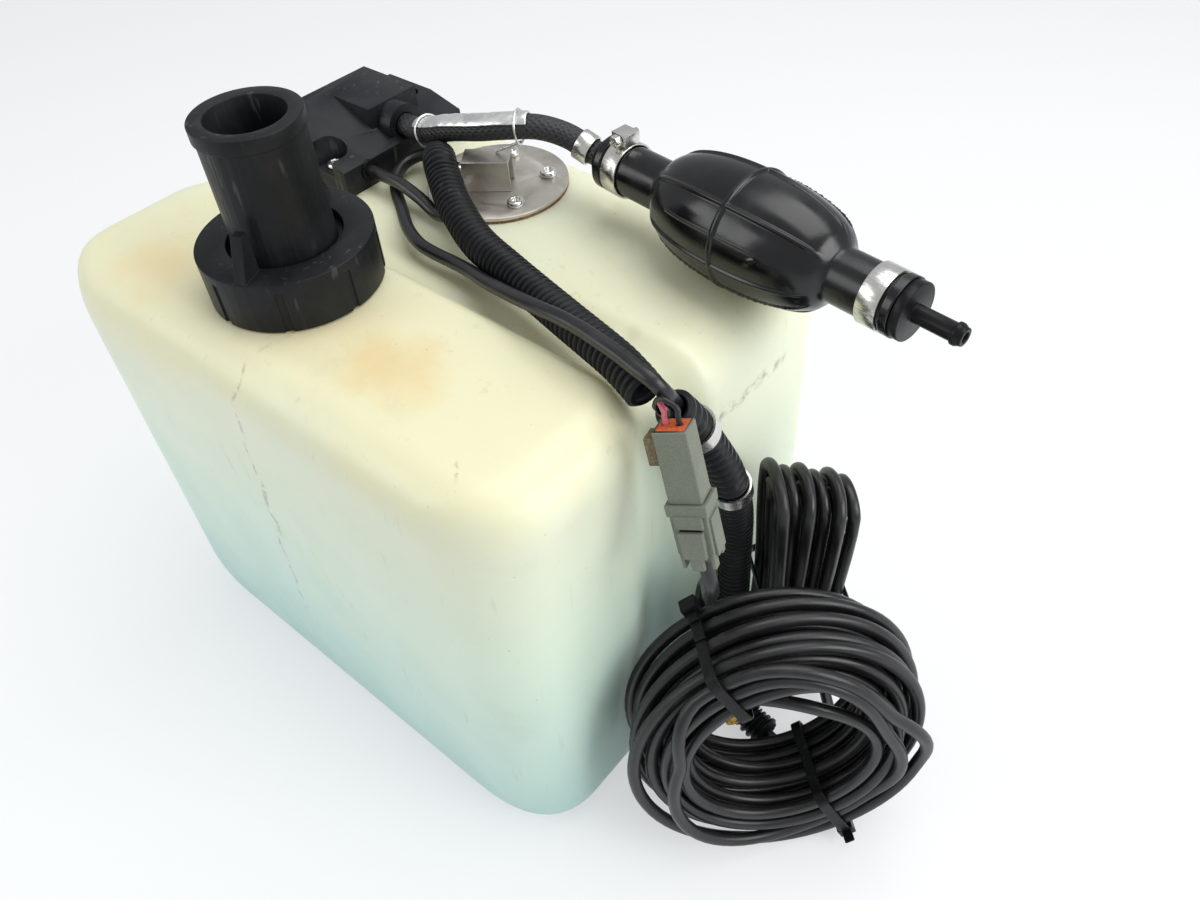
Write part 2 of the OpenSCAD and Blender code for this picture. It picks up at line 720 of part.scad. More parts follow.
crimp_w = 7;
crimp_back = 13;
module hose_crimp_band() {
    bore = hose_od + 4 * run_gap;
    runs = run_lengths(hose_path);
    s = runs[len(runs) - 1] - crimp_back;
    at = along(hose_path, runs, s);
    color("#c9cac8") aim(at, along(hose_path, runs, s + 1) - at)
        translate([0, 0, -crimp_w / 2]) ring(bore + 2 * band_t, bore, crimp_w);
}

// Both fittings hold a check valve: a disc in a chamber, between a seat and a stop
seat_l = 4;
chamber_d = 11;
valve_d = 9.6;
valve_t = 2;
chamber_l = valve_t + valve_travel + 2 * run_gap;
plug_d = bulb_neck_bore - 2 * fit_gap;
inlet_plug_l = 2 * seat_l + chamber_l;
valve_hole_d = 5;
module bulb_inlet_fitting() {
    color("#202022") difference() {
        union() {
            on_bulb(s_in) cylinder(d = plug_d, h = inlet_plug_l);
            on_bulb(s_hose + fit_gap) cylinder(d = bulb_neck_od - 3, h = collar_l - 2 * fit_gap);
            on_bulb(s_hose - inlet_barb_l) cylinder(d = barb_od, h = inlet_barb_l + collar_l + 1);
        }
        on_bulb(s_hose - inlet_barb_l - 1) cylinder(d = valve_hole_d, h = 60);
        on_bulb(s_in + seat_l) cylinder(d = chamber_d, h = chamber_l);
    }
}

// The bulb's outline from one end of its necks to the other, as radius and place
bulb_arc_n = 12;
function bulb_radius(u, r, low) = low + (r - low) * sqrt(max(1 - u * u, 0));
function bulb_outline(r, low) = [for (i = [-bulb_arc_n:bulb_arc_n]) let (u = sin(90 * i / bulb_arc_n))
    [bulb_radius(u, r, low), u * bulb_l / 2]];
girth_w = 2;
bead_w = 4;
bead_rise = 1;
module primer_bulb() {
    color("#121213") on_bulb(0) difference() {
        union() {
            rotate_extrude() polygon(concat(
                [[0, s_in], [bulb_neck_od / 2, s_in]],
                bulb_outline(bulb_od / 2, bulb_neck_od / 2),
                [[bulb_neck_od / 2, s_out], [0, s_out]]));
            translate([0, 0, -girth_w / 2]) cylinder(d = bulb_od + 2 * girth_rise, h = girth_w);
            for (s = [s_in, s_out - bead_w]) translate([0, 0, s])
                cylinder(d = bulb_neck_od + 2 * bead_rise, h = bead_w);
        }
        rotate_extrude() polygon(concat(
            [[0, s_in - 1], [bulb_neck_bore / 2, s_in - 1]],
            [for (q = bulb_outline(bulb_od / 2 - bulb_wall, bulb_neck_bore / 2)) [q[0], q[1] * 0.96]],
            [[bulb_neck_bore / 2, s_out + 1], [0, s_out + 1]]));
    }
}

band_bore = bulb_neck_od + 2 * run_gap;
s_inlet_band = s_in + bead_w + 1;
module inlet_clamp_band() {
    color("#c6c7c5") on_bulb(s_inlet_band) ring(band_bore + 2 * band_t, band_bore, band_w);
}

// The worm housing sits on top of the band, with its screw across the bulb's axis
housing_l = 8;
housing_h = 5.2;
worm_d = 3.2;
worm_head_d = 5.6;
worm_head_l = 3;
worm_l = housing_l + 3;
housing_z = band_bore / 2 + band_t;
worm_z = housing_z + housing_h / 2;
module at_housing() {
    translate(bulb_at(s_inlet_band + band_w / 2)) rotate([0, 0, bulb_turn]) children();
}
module inlet_clamp_housing() {
    color("#bfc0bd") at_housing() difference() {
        translate([-band_w / 2, -housing_l / 2, housing_z]) cube([band_w, housing_l, housing_h]);
        translate([0, -housing_l, worm_z]) rotate([-90, 0, 0])
            cylinder(d = worm_d + 2 * run_gap, h = 2 * housing_l);
    }
}
module inlet_clamp_screw() {
    color("#b4b5b2") at_housing() translate([0, -housing_l / 2 - run_gap, worm_z]) rotate([-90, 0, 0])
    difference() {
        union() {
            cylinder(d = worm_d, h = worm_l);
            translate([0, 0, -worm_head_l]) cylinder(d = worm_head_d, h = worm_head_l, $fn = 6);
        }
        translate([-worm_head_d, -0.5, -worm_head_l - slack]) cube([2 * worm_head_d, 1, 1.6]);
    }
}

s_outlet_band = s_out - bead_w - 1 - band_w;
ear_l = 9;
ear_h = 3;
ear_turn = 35;
module outlet_clamp() {
    color("#c6c7c5") on_bulb(s_outlet_band) {
        ring(band_bore + 2 * band_t, band_bore, band_w);
        rotate(ear_turn) translate([band_bore / 2 + band_t / 2, -ear_l / 2, 0]) cube([ear_h, ear_l, band_w]);
    }
}

lip_l = 4;
lip_d = bulb_neck_od + 1;
tip_l = 4;
tip_land = 1.6;
tip_rise = 0.8;
outlet_plug_l = 2 * seat_l + chamber_l;
nipple_bore = 4;
module outlet_fitting() {
    color("#1a1a1c") on_bulb(s_out) difference() {
        union() {
            translate([0, 0, -outlet_plug_l]) cylinder(d = plug_d, h = outlet_plug_l + lip_l);
            translate([0, 0, fit_gap]) cylinder(d = lip_d, h = lip_l - fit_gap);
            cylinder(d = nipple_od, h = lip_l + nipple_l);
            translate([0, 0, lip_l + nipple_l - tip_l])
                cylinder(d = nipple_od + 2 * tip_rise, h = tip_land);
            translate([0, 0, lip_l + nipple_l - tip_l + tip_land])
                cylinder(d1 = nipple_od + 2 * tip_rise, d2 = nipple_od - tip_rise, h = tip_l - tip_land);
        }
        translate([0, 0, -outlet_plug_l - 1])
            cylinder(d = nipple_bore, h = outlet_plug_l + lip_l + nipple_l + 2);
        translate([0, 0, -outlet_plug_l + seat_l]) cylinder(d = chamber_d, h = chamber_l);
    }
}

module check_disc() {
    cylinder(d = valve_d, h = valve_t);
}
module inlet_valve() {
    color("#8c2f22") on_bulb(s_in + seat_l + run_gap) check_disc();
}
module outlet_valve() {
    color("#8c2f22") on_bulb(s_out - outlet_plug_l + seat_l + run_gap) check_disc();
}

// Harness
// Points on the tank's top: height over the rear lobe. Points at the tank's end: place past that end.
sensor_points = raised([[cover_x - 1, gland_y, gland_z - rear_top],
    [cover_x + 5, gland_y, gland_z - rear_top], [-50, 23.8, 9.6], [-38, 23, 10.3], [-24, 22, 8],
    [-12, 20, 5.5], [-3, 18.5, 8]], rear_top);
upper_points = raised([[-37, 47.8, 11.2], [-30, 42, 16.6], [-22.3, 36, 18.3], [-13.5, 30, 16.2],
    [1, 21, 14], [25, 9.8, 11.6], [51, 2.8, 10.8], [88, -6.5, 10.8], [119, -14.5, 11.6],
    [131, -18, 11], [140, -21, 9.8]], rear_top);
branch_points = raised([[-34.5, 45.8, 13.2], [-38.5, 49.1, 10.1], [-43.5, 52.6, 8.8], [-50.5, 50.8, 8.2],
    [-55.3, 42.5, 6.5], [-52.5, 33, 5], [-44, 24.5, 3.8], [-31, 16, 3.3], [-16.5, 6.6, 3.3],
    [-3.7, 1.4, 3.3], [7.4, 0, 3.4], [20.7, -0.8, 4.3],
    [33.2, -3.2, 6.5], [45.2, -7, 9.3], [57, -10.3, 12.5], [72.6, -14, 16.6], [86, -16.3, 19.5],
    [97.4, -17.6, 21.5], [108.4, -18.9, 22.4], [119.2, -20.6, 22.7], [129.5, -22.2, 22.6],
    [139, -24.3, 22.6],
    [146.5, -25, 21.5], [150, -22.6, 16], [149.6, -18.8, 10], [149.1, -13.8, 2.4]], rear_top);
lower_points = moved([[5.3, -17.5, 232.8], [6.9, -9.3, 219.8], [8.4, 0.5, 201], [10.8, 11.5, 176],
    [10.5, 20.5, 145], [9.5, 24, 110], [10.5, 23.5, 80], [14, 19.5, 50], [21, 12.5, 25], [33, 8.5, 10.6],
    [47, 7, 8.8]], [end_x, 0, 0]);

module sensor_cable() {
    color("#232426") rod(route(sensor_points, 3), [cable_d / 2]);
}
module branch_cable() {
    color("#232426") rod(route(branch_points, 3), [cable_d / 2]);
}

// A corrugated tube: two rings for each rib, one on its crest and one in the valley after it
conduit_sides = 8;
bore_steps = 14;
module ribbed(points, ribs) {
    fine = route(points, 6);
    crest = conduit_od / 2;
    p = evenly(fine, 2 * ribs);
    r = [for (i = [0:2 * ribs]) i % 2 == 0 ? crest - rib_rise : crest];
    pipe(p, r, evenly(fine, bore_steps), conduit_bore / 2, conduit_sides);
}
module upper_conduit() {
    color("#1f2023") ribbed(upper_points, upper_ribs);
}
module lower_conduit() {
    color("#1f2023") ribbed(lower_points, lower_ribs);
}

conduit_band_w = 7;
conduit_band_at = [0.085, 0.3];
module conduit_bands() {
    fine = route(lower_points, 6);
    runs = run_lengths(fine);
    full = runs[len(fine) - 1];
    bore = conduit_od + 2 * run_gap;
    color("#bdbcb4") for (share = conduit_band_at) {
        at = along(fine, runs, share * full);
        aim(at, along(fine, runs, share * full + 1) - at)
            translate([0, 0, -conduit_band_w / 2]) ring(bore + 2 * band_t, bore, conduit_band_w);
    }
}

// The connector hangs from its wires with the seal up, and leans away from the tank towards its plug
conn_at = [end_x + 13.9, -29, rear_top + 10.3];
conn_tilt = 20;
conn_yaw = -16.7;
conn_spin = 36;
shroud_depth = 8;
seal_h = 2;
module on_connector() {
    translate(conn_at) rotate([0, -conn_tilt, conn_yaw]) rotate([0, 0, conn_spin]) children();
}
module block(w, t, h) {
    translate([-w / 2, -t / 2, 0]) cube([w, t, h]);
}
plug_in = 1.2;
module connector_receptacle() {
    color("#8b8d84") on_connector() difference() {
        union() {
            translate([0, 0, -recept_l]) block(recept_w, recept_t, recept_l);
            translate([0, 0, -recept_l - shroud_depth])
                block(recept_w - 2 * plug_in, recept_t - 2 * plug_in, shroud_depth + 1);
        }
        translate([0, 0, -2 * seal_h]) block(recept_w - 2 * plug_in, recept_t - 2 * plug_in, 3 * seal_h);
    }
}
wire_pitch = 5;
wire_core_d = 2;
module connector_seal() {
    color("#d8572a") on_connector() difference() {
        translate([0, 0, -2 * seal_h])
            block(recept_w - 2 * plug_in - 2 * slack, recept_t - 2 * plug_in - 2 * slack, 2 * seal_h + 0.4);
        for (x = [-wire_pitch / 2, wire_pitch / 2]) translate([x, 0, -3 * seal_h])
            cylinder(d = wire_core_d + 2 * hole_gap, h = 5 * seal_h);
    }
}

// Two cores that come out of the lower conduit's mouth and turn down into the seal
function conn_point(q) = let (
    a = conn_spin, b = -conn_tilt, c = conn_yaw,
    u = [q[0] * cos(a) - q[1] * sin(a), q[0] * sin(a) + q[1] * cos(a), q[2]],
    v = [u[0] * cos(b) + u[2] * sin(b), u[1], u[2] * cos(b) - u[0] * sin(b)])
    conn_at + [v[0] * cos(c) - v[1] * sin(c), v[0] * sin(c) + v[1] * cos(c), v[2]];
function core_route(side) = let (
    x = side * wire_pitch / 2, mouth = lower_points[0], out = unit(lower_points[0] - lower_points[1]),
    at = mouth + [0, -2.6, -1.5] - side * 1.5 * unit(conn_point([1, 0, 0]) - conn_point([0, 0, 0])))
    route([conn_point([x, 0, -2 * seal_h + 1]), conn_point([x, 0, 4]), conn_point([x, 1, 8 + side * 1.6]),
        at + (13 + side * 1.6) * out, at + 6 * out, at - 4 * out], 4);
module pink_wire() {
    color("#d23b5a") rod(core_route(-1), [wire_core_d / 2]);
}
module black_wire() {
    color("#17171a") rod(core_route(1), [wire_core_d / 2]);
}

clip_l = 11;
clip_w = 8;
clip_gap = 0.3;
module connector_clip() {
    color("#6a5a35") on_connector()
        translate([-recept_w / 2 - clip_gap - 2, 0, -clip_l - 3]) block(4, clip_w, clip_l);
}

latch_w = 9;
latch_t = 2.4;
module connector_plug() {
    inner_w = recept_w - 2 * plug_in + 2 * run_gap;
    inner_t = recept_t - 2 * plug_in + 2 * run_gap;
    color("#85877d") on_connector() translate([0, 0, -recept_l - plug_l]) difference() {
        union() {
            block(plug_w * 0.8, plug_t * 0.8, plug_l);
            translate([0, 0, plug_l * 0.3]) block(plug_w, plug_t, plug_l * 0.7 - slack);
            translate([0, -plug_t / 2, 3]) block(latch_w, 2 * latch_t, plug_l * 0.6);
        }
        translate([0, 0, plug_l - shroud_depth - 1]) block(inner_w, inner_t, shroud_depth + 2);
        translate([0, 0, -1]) cylinder(d = cable_d + 2 * slack, h = 5);
    }
}

// The coil stands on the floor against the tank's end
coil_yaw = 47;
coil_layers = 6;
coil_climb = 0.5;
coil_start = 150;
coil_period = coil_turns + coil_climb;
coil_tail = 0.4;
coil_total = coil_layers * coil_period - coil_climb + coil_tail;
coil_half = (coil_layers - 1) * coil_layer / 2;
coil_sag = 6;
coil_rise = 2;
tuck_in = 8.4;
tuck_drop = 26;
tuck_l = 0.35;
coil_at = [end_x + 60.5, -15,
    (coil_r + cable_d / 2) * cos(coil_lean) + coil_half * sin(coil_lean) + run_gap];
coil_in = coil_r - coil_turns * coil_step;
function coil_point(t) = let (
    k = min(floor(t / coil_period), coil_layers - 1),
    f = t - k * coil_period,
    q = min(f / coil_turns, 1),
    out = k % 2 == 0 ? q : 1 - q,
    r = coil_in + out * (coil_r - coil_in),
    climb = k == coil_layers - 1 ? 0 : smooth(coil_turns, coil_period, f),
    h = -coil_half + coil_layer * (k + climb) - tuck_drop * smooth(coil_total - tuck_l, coil_total, t),
    a = coil_start + 360 * t,
    back = k < coil_layers - 2,
    loose = (back ? coil_rise : coil_sag) * out * out * pow(max(cos(a - (back ? 85 : 228)), 0), 2),
    tuck = tuck_in * smooth(coil_total - 1.6 * tuck_l, coil_total - tuck_l, t))
    [(r + loose - tuck) * cos(a), (r + loose - tuck) * sin(a), h];
loop_rings = 18;
coil_path = [for (i = [0:coil_total * loop_rings]) coil_point(i / loop_rings)];
coil_sides = 6;
module on_coil() {
    translate(coil_at) rotate([90 - coil_lean, 0, coil_yaw]) children();
}
function coil_place(q) = let (
    a = 90 - coil_lean, c = coil_yaw,
    v = [q[0], q[1] * cos(a) - q[2] * sin(a), q[1] * sin(a) + q[2] * cos(a)])
    coil_at + [v[0] * cos(c) - v[1] * sin(c), v[0] * sin(c) + v[1] * cos(c), v[2]];
module harness_coil() {
    color("#1a1b1d") on_coil() rod(coil_path, [cable_d / 2], coil_sides);
}
echo(coil_gap = self_gap(coil_path, loop_rings / 2, cable_d));

// The lead leaves the plug, passes behind the coil and joins its first inner turn
lead_points = concat(
    [for (z = [3, -3]) conn_point([0, 0, z - recept_l - plug_l])],
    [[end_x + 36, -35.1, 173], [end_x + 34.4, -31.8, 162], [end_x + 28.5, -24.5, 147]],
    [for (q = [[-26, 66, -28.1], [-28, 56, -28], [-26.5, 42, -27.1], [-25.5, 30, -22.7]]) coil_place(q)],
    [coil_place(coil_path[0])]);
module harness_lead() {
    color("#1a1b1d") rod(route(lead_points, 4), [cable_d / 2]);
}

coil_tie_at = [119, -64];
coil_tie_gap = 0.8;
coil_tie_slack = 1.8;
module strap(w, t, h) {
    difference() {
        block(w + 2 * tie_t, t + 2 * tie_t, h);
        translate([0, 0, -slack]) block(w, t, h + 2 * slack);
    }
}
tie_head = 6.5;
module coil_ties() {
    mid = (coil_r + coil_in) / 2;
    w = coil_r - coil_in + cable_d + 2 * coil_tie_gap + coil_tie_slack;
    t = 2 * coil_half + cable_d + 2 * run_gap;
    color("#141415") on_coil() for (i = [0, 1]) rotate(coil_tie_at[i])
        translate([mid + coil_tie_slack / 2, tie_w / 2, 0]) rotate([90, 0, 0]) {
        strap(w, t, tie_w);
        translate([w / 2 + tie_t - slack, i == 0 ? -t / 2 : t / 2 - tie_head, -0.8])
            cube([tie_head - 2, tie_head, tie_w + 1.6]);
    }
}

// Two ring terminals at the inner end of the coil
terminal_l = 12;
terminal_d = 4.2;
terminal_start = 1.8;
eye_od = 9;
eye_hole = 5.2;
eye_t = 0.9;
module coil_terminals() {
    last = coil_path[len(coil_path) - 1];
    inward = unit([-last[0], -last[1], 0]);
    way = unit(unit(last - coil_path[len(coil_path) - 2]) + 0.8 * inward);
    on_coil() for (side = [0, 1]) color(side == 0 ? "#b23a2e" : "#c9a83a")
        aim(last + side * (eye_od + run_gap) * inward + terminal_start * way, way) {
            cylinder(d = terminal_d, h = terminal_l);
            translate([-eye_t / 2, 0, terminal_l + eye_od / 2 - 1]) rotate([0, 90, 0])
                ring(eye_od, eye_hole, eye_t);
        }
}

// The hank stands behind the coil. Its loops lie in upright planes, side by side
hank_yaw = 137;
hank_layers = 6;
hank_turns = 1;
hank_climb = 0.5;
hank_period = hank_turns + hank_climb;
hank_total = hank_layers * hank_period;
hank_half = (hank_layers - 1) * hank_layer / 2;
hank_in = hank_r - hank_turns * hank_step;
hank_reach = hank_r + hank_climb * hank_step;
hank_foot = hank_run / 2 + hank_reach;
hank_at = [end_x + 33, 45, hank_run / 2 + hank_reach + cable_d / 2 + run_gap];
run_share = 2.2;
hank_taper = 0.0026;
function hank_point(t) = let (
    k = min(floor(t / hank_period), hank_layers - 1),
    f = t - k * hank_period,
    last = k == hank_layers - 1,
    q = last ? f / hank_turns : min(f / hank_turns, 1),
    out = k % 2 == 0 ? 1 - q : q,
    r = hank_in + out * (hank_r - hank_in),
    climb = last ? 0 : smooth(hank_turns, hank_period, f),
    h = hank_half - hank_layer * (k + climb),
    a = -90 + 360 * t,
    y = hank_run / 2 * min(max(run_share * sin(a), -1), 1) + r * sin(a),
    keep = hank_waist + (1 - hank_waist) * smooth(0, hank_run / 2, abs(y)))
    [r * cos(a) * keep, (y + hank_foot) * (1 - hank_taper * (h + hank_half)) - hank_foot, h * keep];
hank_path = [for (i = [0:hank_total * loop_rings]) hank_point(i / loop_rings)];
module on_hank() {
    translate(hank_at) rotate([90, 0, hank_yaw]) children();
}
function hank_place(q) = hank_at + [
    q[0] * cos(hank_yaw) + q[2] * sin(hank_yaw), q[0] * sin(hank_yaw) - q[2] * cos(hank_yaw), q[1]];
module cable_hank() {
    color("#1c1d1f") on_hank() rod(hank_path, [cable_d / 2], coil_sides);
}
echo(hank_gap = self_gap(hank_path, loop_rings / 2, cable_d));

hank_first = hank_place(hank_path[0]);
hank_last = hank_place(hank_path[len(hank_path) - 1]);
hank_way = [cos(hank_yaw), sin(hank_yaw), 0];
hank_lead_points = [lower_points[10] - [6, -1.5, 0], lower_points[10] + [6, -0.8, -0.6],
    lower_points[10] + [15, 5, -2], lower_points[10] + [19, 16, -3], lower_points[10] + [18, 29, -2.5],
    hank_first - 17 * hank_way + [1, -1, 0], hank_first - 7 * hank_way, hank_first];
hank_tail_points = [hank_last, hank_last + 7 * hank_way, hank_last + [-9, 14, 0.5], hank_last + [-9, 24, 1],
    hank_last + [-7, 33, 1.5]];
module hank_lead() {
    color("#1c1d1f") rod(route(hank_lead_points, 4), [cable_d / 2]);
}
module hank_tail() {
    color("#1c1d1f") rod(route(hank_tail_points, 4), [cable_d / 2]);
}

hank_tie_gap = 0.7;
module hank_tie() {
    w = 2 * hank_reach * hank_waist + cable_d + 2 * hank_tie_gap;
    t = 2 * hank_half * hank_waist + cable_d + 2 * hank_tie_gap;
    color("#141415") on_hank() translate([0, tie_w / 2, 0]) rotate([90, 0, 0]) strap(w, t, tie_w);
}

hank_plug_l = 22;
hank_plug_w = 12;
hank_plug_t = 8;
module hank_plug() {
    p = route(hank_tail_points, 4);
    color("#2a2b2c") aim(hank_tail_points[4], tangent(p, len(p) - 1))
        block(hank_plug_t, hank_plug_w, hank_plug_l);
}

tank_body();
spout_gasket();
filler_spout();
ring_nut();
pickup_gasket();
pickup_flange();
pickup_cover();
cover_screws();
outlet_barb();
suction_tube();
suction_strainer();
float_stem();
stem_clip();
level_float();
cable_gland();
plate_gasket();
sender_plate();
plate_screws();
hose_bracket();
oil_hose();
hose_saddle();
saddle_wires();
hose_crimp_band();
bulb_inlet_fitting();
primer_bulb();
inlet_clamp_band();
inlet_clamp_housing();
inlet_clamp_screw();
outlet_clamp();
outlet_fitting();
inlet_valve();
outlet_valve();
sensor_cable();
branch_cable();
upper_conduit();
lower_conduit();
conduit_bands();
connector_receptacle();
connector_clip();
connector_seal();
pink_wire();
black_wire();
connector_plug();
harness_lead();
harness_coil();
coil_ties();
coil_terminals();
hank_lead();
cable_hank();
hank_tail();
hank_tie();
hank_plug();
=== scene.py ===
"""An outboard oil tank: moulded body, filler spout, sender, primer bulb and wiring harness."""
from contextlib import contextmanager

import bmesh
import bpy
import numpy as np
from mathutils import Matrix


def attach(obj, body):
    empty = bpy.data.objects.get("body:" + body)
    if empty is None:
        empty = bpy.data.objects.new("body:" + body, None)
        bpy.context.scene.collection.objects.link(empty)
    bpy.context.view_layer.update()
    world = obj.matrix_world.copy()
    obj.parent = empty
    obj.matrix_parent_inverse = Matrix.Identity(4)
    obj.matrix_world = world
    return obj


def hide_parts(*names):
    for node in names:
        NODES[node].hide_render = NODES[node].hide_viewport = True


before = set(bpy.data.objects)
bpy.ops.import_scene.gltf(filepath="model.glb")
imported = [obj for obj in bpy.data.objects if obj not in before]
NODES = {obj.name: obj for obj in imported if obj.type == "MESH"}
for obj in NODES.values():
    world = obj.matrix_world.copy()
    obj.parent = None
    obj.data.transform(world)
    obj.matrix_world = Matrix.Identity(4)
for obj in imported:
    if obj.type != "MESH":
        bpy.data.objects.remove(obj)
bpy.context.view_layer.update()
MM = 0.001
TAU = 2 * np.pi
# Metres within which points merge
DOUBLE = 1e-6
# Degrees below which faces count as one flat, and above which an edge is sharp
FLAT, SHARP = 0.6, 38


# Curves

def smooth(a, b, v):
    """Soft step from 0 at a to 1 at b: 3t^2 - 2t^3."""
    t = np.clip((np.asarray(v, float) - a) / (b - a), 0, 1)
    return t * t * (3 - 2 * t)


def unit(v):
    """Each row of v at length 1."""
    return v / np.linalg.norm(v, axis=-1, keepdims=True)


def route(points, steps):
    """Curve through the points with `steps` pieces to a span. For neighbours a, b, c, d it is
    0.5 (2b + (c-a)t + (2a-5b+4c-d)t^2 + (3b-a-3c+d)t^3)."""
    p = np.asarray(points, float)
    q = np.vstack([p[:1], p, p[-1:]])
    a, b, c, d = (q[k:k + len(p) - 1, None] for k in range(4))
    t = (np.arange(steps) / steps)[None, :, None]
    curve = 0.5 * (2 * b + (c - a) * t + (2 * a - 5 * b + 4 * c - d) * t ** 2
                   + (3 * b - a - 3 * c + d) * t ** 3)
    return np.vstack([curve.reshape(-1, 3), p[-1:]])


def lengths(path):
    """Distance along a path to each of its points."""
    return np.r_[0, np.cumsum(np.linalg.norm(np.diff(path, axis=0), axis=1))]


def at_lengths(path, s):
    """Points of a path at the distances s along it."""
    runs = lengths(path)
    return np.stack([np.interp(s, runs, path[:, k]) for k in range(3)], -1)


def evenly(path, n):
    """The path again, as n points with equal steps."""
    return at_lengths(path, np.linspace(0, lengths(path)[-1], n))


def carried(path, start=None):
    """Tangent, side and third direction along a path. The side is carried on without twist."""
    t = unit(np.gradient(path, axis=0))
    n = np.array(start if start is not None else ([0, 0, 1.0] if abs(t[0, 2]) < 0.9 else [1.0, 0, 0]))
    side = np.empty_like(t)
    for i, way in enumerate(t):
        n = unit(n - way * (n @ way))
        side[i] = n
    return t, side, np.cross(t, side)


def tube(path, radius, sides=24, start=None):
    """P(i,k) = path(i) + r(i,k) (cos a side(i) + sin a third(i)), with a = 2 pi k / sides."""
    _, side, third = carried(path, start)
    a = np.arange(sides)[None] / sides * TAU
    r = np.broadcast_to(radius, (len(path), sides))[..., None]
    return path[:, None] + r * (np.cos(a)[..., None] * side[:, None] + np.sin(a)[..., None] * third[:, None])


def lathe(profile, origin, axis, sides=64):
    """Rings about an axis: origin + z axis + r (cos a u + sin a v) for each (r, z) of the profile."""
    w = unit(np.asarray(axis, float))
    u = unit(np.cross(w, [0, 0, 1.0]) if abs(w[2]) < 0.9 else np.cross(w, [1.0, 0, 0]))
    v = np.cross(w, u)
    pr = np.asarray(profile, float)
    a = np.arange(sides) / sides * TAU
    rim = np.cos(a)[:, None] * u + np.sin(a)[:, None] * v
    return np.asarray(origin, float) + pr[:, None, 1:] * w + pr[:, None, :1] * rim[None]


# Pieces

def shown(name, data):
    """A new object in the scene."""
    obj = bpy.data.objects.new(name, data)
    bpy.context.collection.objects.link(obj)
    return obj


def built(name, points, faces):
    """A mesh from points in metres and lists of their numbers."""
    mesh = bpy.data.meshes.new(name)
    mesh.from_pydata(points.tolist(), [], faces)
    return mesh


@contextmanager
def reworked(mesh):
    """A mesh opened for changes to its points and faces."""
    bm = bmesh.new()
    bm.from_mesh(mesh)
    yield bm
    bm.to_mesh(mesh)
    bm.free()


def grid_faces(rows, cols, wrap=True):
    """Four-sided faces between neighbouring rows and columns of a grid."""
    i, k = np.mgrid[0:rows - 1, 0:cols if wrap else cols - 1]
    j = (k + 1) % cols
    return np.stack([i * cols + k, i * cols + j, (i + 1) * cols + j, (i + 1) * cols + k], -1).reshape(-1, 4)


def settle(obj, finish, slot, stands_for, body="tank"):
    """Gives a piece its finish and its body, and hides the nodes that it stands for. The slot is not used."""
    obj.data.materials.clear()
    obj.data.materials.append(finish)
    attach(obj, body)
    if stands_for:
        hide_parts(*stands_for)
    return obj


def surface(name, grids, finish, slot, stands_for=(), caps=True):
    """A mesh from a grid of points in millimetres, or from a list of grids. Its UV map `run` holds the
    millimetres along a grid and the share round it. The columns close to a ring, and caps close
    the open ends."""
    points, faces, uvs, soft = [], [], [], []
    for grid in grids if isinstance(grids, list) else [grids]:
        rows, cols = grid.shape[:2]
        start = sum(len(p) for p in points)
        quads = grid_faces(rows, cols)
        ends = [np.arange(cols)[::-1], np.arange(cols) + (rows - 1) * cols] if caps else []
        s = lengths(grid.mean(1))
        share = (quads[:, :1] % cols + np.array([0, 1, 1, 0])) / cols
        points.append(grid.reshape(-1, 3) * MM)
        faces += (quads + start).tolist() + [(e + start).tolist() for e in ends]
        uvs += [np.stack([s[quads // cols], share], -1).reshape(-1, 2), np.zeros((cols * len(ends), 2))]
        soft += [True] * len(quads) + [False] * len(ends)
    mesh = built(name, np.vstack(points), faces)
    mesh.uv_layers.new(name="run").data.foreach_set("uv", np.vstack(uvs).ravel())
    mesh.polygons.foreach_set("use_smooth", soft)
    turn_out(mesh)
    return settle(shown(name, mesh), finish, slot, stands_for)


def turn_out(mesh):
    """Points a mesh's faces outwards."""
    with reworked(mesh) as bm:
        bmesh.ops.recalc_face_normals(bm, faces=bm.faces)


def eased(node, finish, slot, width, segments=2, body="tank"):
    """A node's solid with its doubles merged, its flats joined and its sharp edges rounded over."""
    mesh = NODES[node].data.copy()
    mesh.name = node + "_eased"
    with reworked(mesh) as bm:
        bmesh.ops.remove_doubles(bm, verts=bm.verts, dist=DOUBLE)
        bmesh.ops.dissolve_limit(bm, angle_limit=np.radians(FLAT), verts=bm.verts, edges=bm.edges)
    mesh.polygons.foreach_set("use_smooth", [True] * len(mesh.polygons))
    obj = shown(mesh.name, mesh)
    ease_edges(obj, width, segments)
    return settle(obj, finish, slot, (node,), body)


def ease_edges(obj, width, segments):
    """Rounds over the sharp edges by a width in millimetres."""
    ease = obj.modifiers.new("ease", "BEVEL")
    ease.width = width * MM
    ease.segments = segments
    ease.limit_method = "ANGLE"
    ease.angle_limit = np.radians(SHARP)
    ease.harden_normals = True
    ease.use_clamp_overlap = True


def blocks(name, boxes, place, finish, slot, stands_for, width, segments=2):
    """Rounded blocks in one mesh. Each box has its low and high corner and the share that its low end keeps
    of its width, in a frame that `place` turns into the tank's."""
    corner = np.array([[x, y, z] for z in (0, 1) for y in (0, 1) for x in (0, 1)], float)
    sides = np.array([[0, 2, 3, 1], [4, 5, 7, 6], [0, 1, 5, 4], [2, 6, 7, 3], [0, 4, 6, 2], [1, 3, 7, 5]])
    points, faces = [], []
    for k, (low, high, keep) in enumerate(boxes):
        low, high = np.array(low, float), np.array(high, float)
        q = low + corner * (high - low)
        middle = (low[0] + high[0]) / 2
        q[:4, 0] = middle + (q[:4, 0] - middle) * keep
        points.append(place(q) * MM)
        faces += (sides + 8 * k).tolist()
    mesh = built(name, np.vstack(points), faces)
    mesh.polygons.foreach_set("use_smooth", [True] * len(faces))
    turn_out(mesh)
    obj = shown(name, mesh)
    ease_edges(obj, width, segments)
    settle(obj, finish, slot, stands_for)


